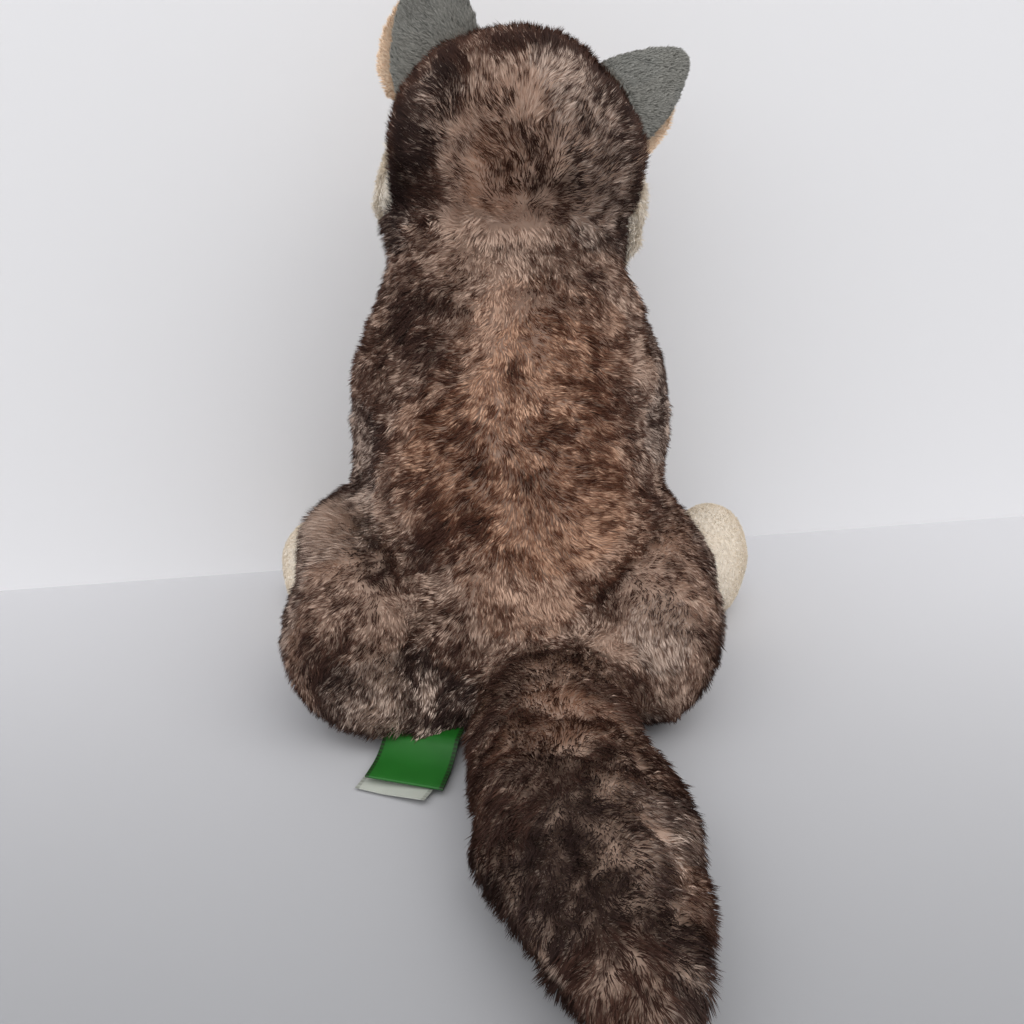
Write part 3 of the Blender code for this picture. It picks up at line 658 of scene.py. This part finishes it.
# Where the filling pushes the cloth out or it is drawn in: x, y, z, radius, metres
PUFFS = np.array([
    # Haunches and seat
    (0.034, 0.052, 0.008, 0.017, 0.0215), (0.096, 0.000, 0.063, 0.016, -0.0085),
    (0.092, 0.030, 0.035, 0.016, 0.0020), (-0.092, -0.025, 0.073, 0.016, -0.0085),
    (-0.100, 0.030, 0.042, 0.016, 0.0030), (0.054, 0.062, 0.008, 0.013, 0.0080),
    # Tail's root, chest, neck and head
    (-0.014, 0.072, 0.050, 0.014, 0.0030), (-0.066, -0.022, 0.158, 0.014, -0.0045),
    (-0.070, -0.015, 0.110, 0.016, 0.0045), (0.066, -0.022, 0.160, 0.011, -0.0035),
    (0.050, -0.022, 0.175, 0.014, 0.0060), (-0.048, -0.020, 0.268, 0.016, -0.0040),
    (0.044, -0.032, 0.208, 0.014, 0.0095), (0.044, -0.014, 0.208, 0.014, 0.0060),
    (0.052, -0.030, 0.230, 0.016, 0.0030), (-0.052, -0.020, 0.209, 0.012, 0.0030),
    (-0.054, -0.020, 0.192, 0.010, -0.0030), (-0.057, -0.020, 0.174, 0.012, 0.0045),
    # Tail
    (-0.064, 0.116, 0.018, 0.016, 0.0110), (-0.067, 0.140, 0.019, 0.018, 0.0100),
    (-0.062, 0.093, 0.022, 0.007, -0.0050), (0.016, 0.105, 0.018, 0.024, 0.0030),
    (0.011, 0.147, 0.014, 0.012, 0.0080), (0.004, 0.182, 0.015, 0.012, -0.0040),
    (-0.006, 0.216, 0.015, 0.018, -0.0055), (-0.003, 0.204, 0.015, 0.016, -0.0075),
    (-0.062, 0.200, 0.020, 0.015, -0.0050),
    # The tail's seam
    (-0.047, 0.105, 0.043, 0.006, -0.0030), (-0.050, 0.122, 0.042, 0.006, -0.0045),
    (-0.051, 0.140, 0.040, 0.006, -0.0050), (-0.051, 0.158, 0.040, 0.006, -0.0050),
    (-0.050, 0.176, 0.039, 0.006, -0.0045), (-0.048, 0.194, 0.037, 0.006, -0.0035),
    (-0.063, 0.172, 0.024, 0.012, 0.0010),
])
# How far each ear's base swells back over the head, and how far the ears shift
EAR_SWELL = 0.009
EAR_SHIFTS = {"left": np.array((-0.003, 0.0, 0.0)), "right": np.array((0.0055, 0.001, 0.005))}
# Which way the linings' outer edges lie, and how far they roll out and back
LINING_EDGES = {"left": np.array((1.0, 0.0, 0.0)), "right": np.array((-0.6, 0.0, -0.8))}
LINING_ROLL_OUT = 0.0072
LINING_ROLL_BACK = np.array((0.0, 0.0045, 0.0))
# Where the pile is longer than the rest, as a share of its length: x, y, z, radius, share
TUFTS = np.array([
    (0.078, 0.004, 0.084, 0.018, 0.75), (0.066, 0.030, 0.082, 0.014, 0.45),
    (0.094, -0.008, 0.068, 0.014, 0.90), (0.0, 0.008, 0.208, 0.022, 0.30),
    (0.005, 0.052, 0.060, 0.012, 0.25),
])


def marked(places, marks):
    """The sum of soft round marks at each place."""
    total = np.zeros(len(places))
    for x, y, z, radius, amount in marks:
        away = ((places - (x, y, z)) ** 2).sum(1)
        total += amount * np.exp(-away / (radius * radius))
    return total


def mottled(roots, leaders, rng):
    """Tone and warmth of the mottled coat: patches, then specks, then single hairs."""
    tufts = roots[leaders]
    specks = drift(tufts, 0.0022, SEED + 7) + 0.3 * drift(tufts, 0.0050, SEED + 4) - 0.65
    tone = 0.43 + 0.18 * wobble(roots, 0.022, 5) + 0.16 * wobble(roots, 0.010, 6)
    tone += 0.60 * marked(roots, COAT_MARKS) + 0.68 * specks + rng.normal(0.0, 0.08, len(roots))
    warmth = 0.22 + marked(roots, WARM_MARKS) + 0.175 * wobble(roots, 0.03, 8)
    return np.clip(tone, 0.02, 0.98), np.clip(warmth, 0.0, 0.99)


def dusky(roots, leaders, rng):
    """The mottled coat with less contrast around a dark tone, as on the tail."""
    tone, warmth = mottled(roots, leaders, rng)
    return TAIL_TONE + TAIL_CONTRAST * (tone - TAIL_TONE), warmth


def even_coat(roots, leaders, rng):
    """Tone and warmth of a plain coat."""
    tone = 0.55 + 0.175 * wobble(roots, 0.010, 9) + rng.normal(0.0, 0.12, len(roots))
    warmth = 0.35 + 0.3 * wobble(roots, 0.018, 10)
    return np.clip(tone, 0.02, 0.98), np.clip(warmth, 0.0, 0.99)


# Coats: lengths in metres, angles in radians, tuft is how far the tips are drawn together
LONG_COAT = {
    "length": 0.0078, "width": 0.00046, "per_mm2": 1.75, "inset": 0.0040,
    "swirl": 0.65, "ruffle": 0.85, "stray": 0.18, "twist": 0.6,
    "lift_root": 1.10, "lift_tip": 0.62, "lift_drift": 0.25, "lift_stray": 0.12,
    "tuft": 0.38, "tuft_hairs": 8, "voxel": 0.0036, "rounds": 3,
}
TAIL_COAT = dict(LONG_COAT, length=0.0095, lift_root=1.0, lift_tip=0.5, inset=0.0048)
HEAD_COAT = dict(LONG_COAT, length=0.0085, lift_root=1.05, lift_tip=0.60)
SHORT_COAT = {
    "length": 0.0028, "width": 0.00040, "per_mm2": 2.1, "inset": 0.0010,
    "swirl": 0.5, "ruffle": 0.30, "stray": 0.40, "twist": 0.6,
    "lift_root": 0.60, "lift_tip": 0.28, "lift_drift": 0.15, "lift_stray": 0.12,
    "tuft": 0.1, "tuft_hairs": 9, "voxel": 0.0024, "rounds": 4,
}
RUFF_COAT = dict(
    SHORT_COAT, length=0.0080, per_mm2=2.2, inset=0.0028,
    ruffle=0.7, lift_root=0.7, lift_tip=0.25, tuft=0.35,
)
EAR_COAT = dict(
    SHORT_COAT, length=0.0032, per_mm2=5.0, inset=0.0008,
    stray=0.22, lift_tip=0.18, tuft=0.02, voxel=0.0012,
)

# Each fabric's colours: undyed, dyed and darkest, in its cooler places and then in its warmer
FABRICS = {
    "mottled_plush": (
        (212, 190, 175), (88, 66, 57), (48, 33, 29), (212, 172, 145), (112, 72, 53), (72, 43, 32),
    ),
    "cream_plush": (
        (250, 242, 230), (252, 246, 236), (244, 233, 216),
        (247, 236, 220), (250, 241, 228), (241, 227, 208),
    ),
    "grey_plush": (
        (132, 132, 127), (154, 153, 147), (102, 102, 97),
        (138, 136, 129), (160, 157, 149), (110, 108, 101),
    ),
    "lining_plush": (
        (250, 226, 200), (253, 234, 210), (242, 214, 184),
        (246, 216, 186), (252, 228, 200), (238, 206, 174),
    ),
}
LOOKS = {
    fabric: plush_look(fabric, *(srgb(*colour) for colour in colours))
    for fabric, colours in FABRICS.items()
}

# Each stuffed piece: its node, coat, nap, colouring, slot (its fabric) and how full it is
STUFFED = [
    ("torso", LONG_COAT, nap_of_torso, mottled, "mottled_plush", 0.85),
    ("head", HEAD_COAT, nap_of_head, mottled, "mottled_plush", 0.90),
    ("haunch_left", LONG_COAT, nap_of_haunch, mottled, "mottled_plush", 0.75),
    ("haunch_right", LONG_COAT, nap_of_haunch, mottled, "mottled_plush", 0.75),
    ("foreleg_left", LONG_COAT, nap_of_leg, mottled, "mottled_plush", 0.75),
    ("foreleg_right", LONG_COAT, nap_of_leg, mottled, "mottled_plush", 0.75),
    ("tail", TAIL_COAT, nap_of_tail, dusky, "mottled_plush", 0.70),
    ("belly_panel", SHORT_COAT, nap_of_leg, even_coat, "cream_plush", 0.80),
    ("muzzle", SHORT_COAT, nap_of_face, even_coat, "cream_plush", 0.90),
    ("cheek_left", RUFF_COAT, nap_of_face, even_coat, "cream_plush", 0.80),
    ("cheek_right", RUFF_COAT, nap_of_face, even_coat, "cream_plush", 0.80),
    ("forepaw_left", SHORT_COAT, nap_of_foot, even_coat, "cream_plush", 0.80),
    ("forepaw_right", SHORT_COAT, nap_of_foot, even_coat, "cream_plush", 0.80),
    ("hind_foot_left", SHORT_COAT, nap_of_foot, even_coat, "cream_plush", 0.80),
    ("hind_foot_right", SHORT_COAT, nap_of_foot, even_coat, "cream_plush", 0.80),
    ("ear_left", EAR_COAT, nap_of_ear, even_coat, "grey_plush", 0.30),
    ("ear_right", EAR_COAT, nap_of_ear, even_coat, "grey_plush", 0.30),
    ("ear_lining_left", EAR_COAT, nap_of_ear, even_coat, "lining_plush", 0.30),
    ("ear_lining_right", EAR_COAT, nap_of_ear, even_coat, "lining_plush", 0.30),
]


def leaned(node, points, faces):
    """An ear's points, with its base swelling back, or a lining's with its outer edge rolled."""
    side = node.rsplit("_", 1)[1]
    shifted = points + EAR_SHIFTS[side]
    if "lining" in node:
        outward = (points - points.mean(0)) @ LINING_EDGES[side]
        edge = smooth(0.003, 0.015, outward)[:, None]
        return shifted + edge * (LINING_EDGES[side] * LINING_ROLL_OUT + LINING_ROLL_BACK)
    baseward = 1.0 - smooth(0.045, 0.080, np.linalg.norm(points - HEAD_CENTRE, axis=1))
    back = smooth(-0.2, 0.5, point_normals(points, faces)[:, 1])
    swell = back * (0.35 + 0.65 * baseward)
    return shifted + np.array((0.0, EAR_SWELL, 0.0)) * swell[:, None]


def search_tree(solids):
    """A search tree over some meshes, each as points and triangles."""
    points = []
    faces = []
    start = 0
    for some, corners in solids:
        points.append(some)
        faces.append(corners + start)
        start += len(some)
    return BVHTree.FromPolygons(np.concatenate(points).tolist(), np.concatenate(faces).tolist())


def make_stuffed(node, coat, nap, colouring, slot, fill):
    """A stuffed piece with its fur, which grows where no other piece covers the cloth."""
    rng = np.random.default_rng(SEED + sum(map(ord, node)))
    skin = cloth_skin(solids[node], coat["inset"], sewn_body if node in SEWN else None)
    roots, outward = scattered(*skin, coat["per_mm2"], rng)
    keep = np.ones(len(roots), bool)
    if node in SEWN:
        nearest, outward, _ = nearest_on(roots, sewn_body)
        height = ((roots - nearest) * outward).sum(1)
        keep = height > -coat["inset"] - ROOT_DEPTH + np.minimum(marked(roots, PUFFS), 0.0)
    joined = SEWN if node in SEWN else [node]
    covering = search_tree([solids[other] for other in solids if other not in joined])
    keep &= ~inside(roots + outward * (coat["inset"] + COVER_REACH), covering)
    keep &= ~((roots[:, 2] < BARE_HEIGHT) & (outward[:, 2] < BARE_FACING))
    roots = roots[keep]
    outward = outward[keep]
    leaders = gathered(roots, coat, rng)
    hair = blades(roots, outward, nap(roots), coat, rng, leaders)
    cloth_tones, _ = colouring(skin[0], np.arange(len(skin[0])), rng)
    tones, warmths = colouring(roots, leaders, rng)
    made = furred(node + "_fur", skin, hair, cloth_tones, tones, warmths, LOOKS[slot])
    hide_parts(node)
    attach(made, "root")


SEWN = [node for node, _, _, _, slot, _ in STUFFED if slot == "mottled_plush"]
solids = {node: evened([node], coat["voxel"], coat["rounds"]) for node, coat, *_ in STUFFED}
for node in solids:
    if node.startswith("ear"):
        solids[node] = (leaned(node, *solids[node]), solids[node][1])
sewn_body = search_tree([evened(SEWN, SEWN_VOXEL, SEWN_ROUNDS, fillet=SEAM_FILLET)])
for stuffed in STUFFED:
    make_stuffed(*stuffed)


# Face

EYE_RADIUS = 0.00625
EYE_DEPTH = 0.0048
# The pupil's edge and the dark rim's, as distances from the eye's middle
PUPIL_EDGE = (0.0026, 0.0030)
RIM_EDGE = (0.0050, 0.0060)
# Half the nose's width, depth and height, its turn in degrees and its shift back
NOSE_HALF = (0.0086, 0.0055, 0.0064)
NOSE_TURN = (4.0, -10.0, -5.0)
NOSE_SHIFT = 0.0012


def ball(segments, ring_count, radius):
    """A new ball at the origin."""
    bpy.ops.object.select_all(action="DESELECT")
    bpy.ops.mesh.primitive_uv_sphere_add(segments=segments, ring_count=ring_count, radius=radius)
    return bpy.context.view_layer.objects.active


def new_piece(name, look):
    """Names the active object, gives it a material and puts its place into its mesh."""
    made = bpy.context.view_layer.objects.active
    made.name = name
    made.data.name = name
    made.data.materials.clear()
    made.data.materials.append(look)
    only(made)
    bpy.ops.object.transform_apply(location=True, rotation=True, scale=True)
    return made


def eye_look(name, centre, facing):
    """Brown plastic with a black pupil in the middle and a dark rim, under a clear coat."""
    look = Look(name, Roughness=0.12, Coat_Weight=0.25, Coat_Roughness=0.05)

    def vector(operation, inputs):
        return look.add("ShaderNodeVectorMath", {"operation": operation}, inputs).outputs

    offset = vector("SUBTRACT", {0: look.place(), 1: centre})[0]
    across = vector("CROSS_PRODUCT", {0: offset, 1: facing})[0]
    radius = Value(look, vector("LENGTH", {0: across})["Value"])
    streaks = look.noise(look.place(), 900.0)
    iris = look.mix(streaks, srgb(92, 52, 22), srgb(134, 84, 40))
    inner = look.mix(radius.step(*PUPIL_EDGE), srgb(8, 7, 7), iris)
    look.colour(look.mix(radius.step(*RIM_EDGE), inner, srgb(20, 12, 9)))
    return look.material


def make_eye(node):
    """A domed eye in place of the plain turned one, seated on the same spot."""
    points, _, _ = arrays_of(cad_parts[node].data)
    head_middle = np.array(sum((Vector(corner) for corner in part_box("head")), Vector()) / 2.0)
    away = np.linalg.norm(points - head_middle, axis=1)
    front = points[away.argmax()]
    facing = Vector(front - points[away < away.min() + 0.0002].mean(0)).normalized()
    centre = Vector(front) - facing * EYE_DEPTH
    eye = ball(40, 24, EYE_RADIUS)
    eye.scale = (1.0, 1.0, EYE_DEPTH / EYE_RADIUS)
    eye.rotation_euler = facing.to_track_quat("Z", "Y").to_euler()
    eye.location = centre
    look = eye_look(node + "_plastic", tuple(centre), tuple(facing))
    made = new_piece(node + "_dome", look)
    bpy.ops.object.shade_smooth()
    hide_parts(node)
    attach(made, "root")


def nose_look():
    """Black moulded plastic with a fine leather grain."""
    look = Look("nose_plastic", Roughness=0.38)
    grain = look.noise(look.place(), 1400.0, 3.0)
    look.colour(look.mix(grain, srgb(18, 16, 16), srgb(34, 30, 29)))
    look.set(look.shader, {"Roughness": grain * 0.2 + 0.3})
    look.bump(grain, 0.0003, 0.5)
    return look.material


def make_nose():
    """The nose with two nostrils, on the muzzle's tip."""
    low, high = (Vector(corner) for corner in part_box("nose"))
    middle = (low + high) / 2.0
    nose = ball(48, 32, 1.0)
    for vert in nose.data.vertices:
        place = vert.co
        flare = 1.0 + 0.28 * place.z
        x = place.x * flare
        dent = math.exp(-(((abs(x) - 0.46) / 0.20) ** 2) - (((place.z + 0.05) / 0.26) ** 2))
        groove = math.exp(-((x / 0.09) ** 2)) * max(0.0, 0.3 - place.z)
        depth = 1.0 - (0.22 * dent + 0.10 * groove) * (1.0 if place.y < 0.0 else 0.0)
        vert.co = Vector((x * NOSE_HALF[0], place.y * NOSE_HALF[1] * depth, place.z * NOSE_HALF[2]))
    nose.rotation_euler = [math.radians(angle) for angle in NOSE_TURN]
    nose.location = middle + Vector((0.0, NOSE_SHIFT, 0.0))
    made = new_piece("nose_pad", nose_look())
    bpy.ops.object.shade_smooth()
    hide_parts("nose")
    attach(made, "root")


make_eye("eye_left")
make_eye("eye_right")
make_nose()


# Labels

# Where both labels leave the seam, how far they are tucked into it, and how far out they reach
LABEL_SEAM = (0.0345, 0.0645, 0.0)
LABEL_TUCK = 0.014
WOVEN_REACH = 0.025
CARE_REACH = 0.031
LABEL_STEPS = 14
# Radius of the woven label's fold, and how high both labels' middles lie over the solids' bed
FOLD_RADIUS = 0.0004
WOVEN_HEIGHT = 0.0017
CARE_HEIGHT = 0.0002
# The bed's height at the seam and behind it, and how far behind the seam it levels out
SEAM_HEIGHT = 0.0065
BED_HEIGHT = 0.0012
BED_RUN = 0.016
RIM_WIDTH = 0.0019
RIM_INNER = 0.0013


def ribbon(name, turn, width, path, thickness, look, curl):
    """A ribbon whose middle line runs through (along, height) points, swung about the seam."""
    swing = Matrix.Rotation(-turn, 4, "Z")
    bm = bmesh.new()
    uv = bm.loops.layers.uv.new("Cloth")
    across = 12
    rows = []
    run = 0.0
    for index, (along, height) in enumerate(path):
        if index:
            run += math.hypot(along - path[index - 1][0], height - path[index - 1][1])
        row = []
        for step in range(across + 1):
            edge = step / across - 0.5
            point = swing @ Vector((edge * width, along, 0.0))
            point.z = height + curl(edge, along)
            row.append((bm.verts.new(Vector(LABEL_SEAM) + point), (edge * width, run)))
        rows.append(row)
    for first, second in zip(rows, rows[1:]):
        for step in range(across):
            corners = (first[step], first[step + 1], second[step + 1], second[step])
            face = bm.faces.new([corner[0] for corner in corners])
            for loop, corner in zip(face.loops, corners):
                loop[uv].uv = corner[1]
    mesh = bpy.data.meshes.new(name)
    bm.to_mesh(mesh)
    bm.free()
    made = bpy.data.objects.new(name, mesh)
    bpy.context.scene.collection.objects.link(made)
    mesh.materials.append(look)
    wall = made.modifiers.new("cloth", "SOLIDIFY")
    wall.thickness = thickness
    wall.offset = 0.0
    finish_modifiers(made)
    bpy.ops.object.shade_smooth_by_angle(angle=math.radians(50.0))
    return made, run


def ribbon_look(name, low, high, rim, half, threads, roughness):
    """Woven ribbon: fine threads both ways and darker stitched rims, in metres on the cloth's own
    map; on the green label the rims' darkness is partly painted shade.
    """
    look = Look(name, Roughness=roughness)
    x, y, _ = look.split(look.map("Cloth"))
    warp = (x * (2.0 * math.pi * threads)).sine()
    weft = (y * (2.0 * math.pi * threads * 0.8)).sine()
    weave = warp * weft * 0.5 + 0.5
    patchy = look.noise(look.map("Cloth"), 120.0)
    cloth = look.mix(weave * 0.6 + patchy * 0.4, low, high)
    stitches = (y * 500.0).fraction().step(0.35, 0.65)
    # The rims: stitched edges, whose darkness on the green label partly stands for painted shade
    edge = (x * x).step((half - RIM_WIDTH) ** 2, (half - RIM_INNER) ** 2)
    look.colour(look.mix(edge * (stitches * 0.5 + 0.5), cloth, rim))
    look.bump(weave, 0.00006, 0.6)
    return look.material


def label_height(behind_seam):
    """How high a label runs behind the seat seam, as the solids do."""
    left = min(max(0.0, 1.0 - behind_seam / BED_RUN), 1.0)
    return (SEAM_HEIGHT - BED_HEIGHT) * left**2 + BED_HEIGHT


def label_path(reach, above):
    """A label's middle line from its tuck to its end, this far above the bed."""
    path = []
    for index in range(LABEL_STEPS + 1):
        along = -LABEL_TUCK + (reach + LABEL_TUCK) * (index / LABEL_STEPS)
        path.append((along, label_height(along) + above))
    return path


def make_labels():
    """The folded green label and the satin label under it, both bare."""
    # The green label's dark rim is its stitched edge, darkened as painted shade of the gap where
    # its folded layers part
    green = ribbon_look(
        "green_ribbon", low=srgb(10, 84, 14), high=srgb(34, 118, 34), rim=srgb(22, 38, 12),
        half=0.016, threads=2600.0, roughness=0.5,
    )
    # Painted shade: the satin's off-white is lowered toward grey, as if in the shade of the green
    # label over it
    shaded_satin = ribbon_look(
        "white_satin", low=srgb(176, 180, 170), high=srgb(204, 207, 198), rim=srgb(150, 153, 144),
        half=0.015, threads=3400.0, roughness=0.32,
    )
    lower = label_path(WOVEN_REACH, WOVEN_HEIGHT)
    upper = [(along, height + 2.0 * FOLD_RADIUS) for along, height in reversed(lower)]
    fold = []
    for share in (0.2, 0.4, 0.6, 0.8):
        out = WOVEN_REACH + FOLD_RADIUS * math.sin(math.pi * share)
        fold.append((out, lower[-1][1] + FOLD_RADIUS - FOLD_RADIUS * math.cos(math.pi * share)))

    def lift(edge, along):
        return 0.0016 * max(0.0, along / WOVEN_REACH) ** 2 * (0.5 + edge)

    woven, run = ribbon(
        "woven_ribbon", turn=math.radians(12.0), width=0.032, path=lower + fold + upper,
        thickness=0.00035, look=green, curl=lift,
    )
    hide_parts("woven_label")
    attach(woven, "root")

    def curl(edge, along):
        return 0.0030 * max(0.0, along / CARE_REACH) ** 3 * max(0.0, 0.1 - edge)

    satin, run = ribbon(
        "care_ribbon", turn=math.radians(20.0), width=0.030,
        path=label_path(CARE_REACH, CARE_HEIGHT), thickness=0.0003, look=shaded_satin, curl=curl,
    )
    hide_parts("care_label")
    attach(satin, "root")


make_labels()


# Camera, stage and light

LIGHT_AIM = (0.0, 0.0, 0.1)
AIR_COLOUR = (0.82, 0.82, 0.83, 1.0)
AIR_STRENGTH = 0.84


def make_camera():
    """The camera where the photo's stood."""
    camera = bpy.data.objects.new("camera", bpy.data.cameras.new("camera"))
    bpy.context.scene.collection.objects.link(camera)
    camera.location = CAMERA_PLACE
    camera.rotation_euler = (math.pi / 2.0 - CAMERA_PITCH, 0.0, math.pi - CAMERA_TURN)
    camera.data.lens = CAMERA_LENS
    camera.data.sensor_width = CAMERA_SENSOR
    bpy.context.scene.camera = camera


def flat_sheet(name, size, place, turn, look):
    """A square of the stage."""
    bpy.ops.object.select_all(action="DESELECT")
    bpy.ops.mesh.primitive_plane_add(size=size, location=place, rotation=turn)
    made = bpy.context.view_layer.objects.active
    made.name = name
    made.data.materials.append(look)


def make_stage():
    """A pale floor with painted shade, darker in a band toward the camera, and a pale wall close
    behind the wolf that can't be seen from its back.
    """
    floor = Look("floor_with_painted_shade", Roughness=0.9)
    _, along, _ = floor.split(floor.place())
    # Painted shade: the floor darkens from behind the wolf toward the camera and pales again beyond
    # it
    near = along.step(-0.20, 0.40) * (1.0 - along.step(0.45, 0.90))
    floor.colour(floor.mix(near, srgb(216, 216, 219), srgb(134, 135, 138)))
    flat_sheet(
        "floor", size=30.0, place=(0.0, 0.0, 0.0), turn=(0.0, 0.0, 0.0), look=floor.material
    )
    wall = Look("wall_paint", Roughness=0.95)
    wall.colour(full(srgb(238, 238, 240)))
    clear = wall.add("ShaderNodeBsdfTransparent", {}, {})
    behind = wall.add("ShaderNodeNewGeometry", {}, {}).outputs["Backfacing"]
    sides = {0: behind, 1: wall.shader.outputs[0], 2: clear.outputs[0]}
    both = wall.add("ShaderNodeMixShader", {}, sides)
    wall.set(wall.tree.nodes["Material Output"], {"Surface": both.outputs[0]})
    turn = (-math.pi / 2.0, 0.0, math.radians(9.5))
    flat_sheet("wall", size=5.0, place=(0.0, -0.138, 2.5), turn=turn, look=wall.material)


def area_light(name, place, size, power, colour):
    """A square light that faces the wolf."""
    light = bpy.data.lights.new(name, "AREA")
    light.size = size
    light.energy = power
    light.color = colour
    made = bpy.data.objects.new(name, light)
    bpy.context.scene.collection.objects.link(made)
    made.location = place
    made.rotation_euler = (Vector(LIGHT_AIM) - Vector(place)).to_track_quat("-Z", "Y").to_euler()


make_camera()
make_stage()
area_light("window", place=(-0.6, 0.5, 1.3), size=1.2, power=6.5, colour=(1.0, 0.99, 0.97))
area_light("room", place=(0.6, 1.0, 1.1), size=1.6, power=9.0, colour=(1.0, 1.0, 1.0))
world = bpy.data.worlds.new("room")
bpy.context.scene.world = world
world.use_nodes = True
background = world.node_tree.nodes["Background"]
background.inputs["Color"].default_value = AIR_COLOUR
background.inputs["Strength"].default_value = AIR_STRENGTH
bpy.context.scene.view_settings.view_transform = "Standard"
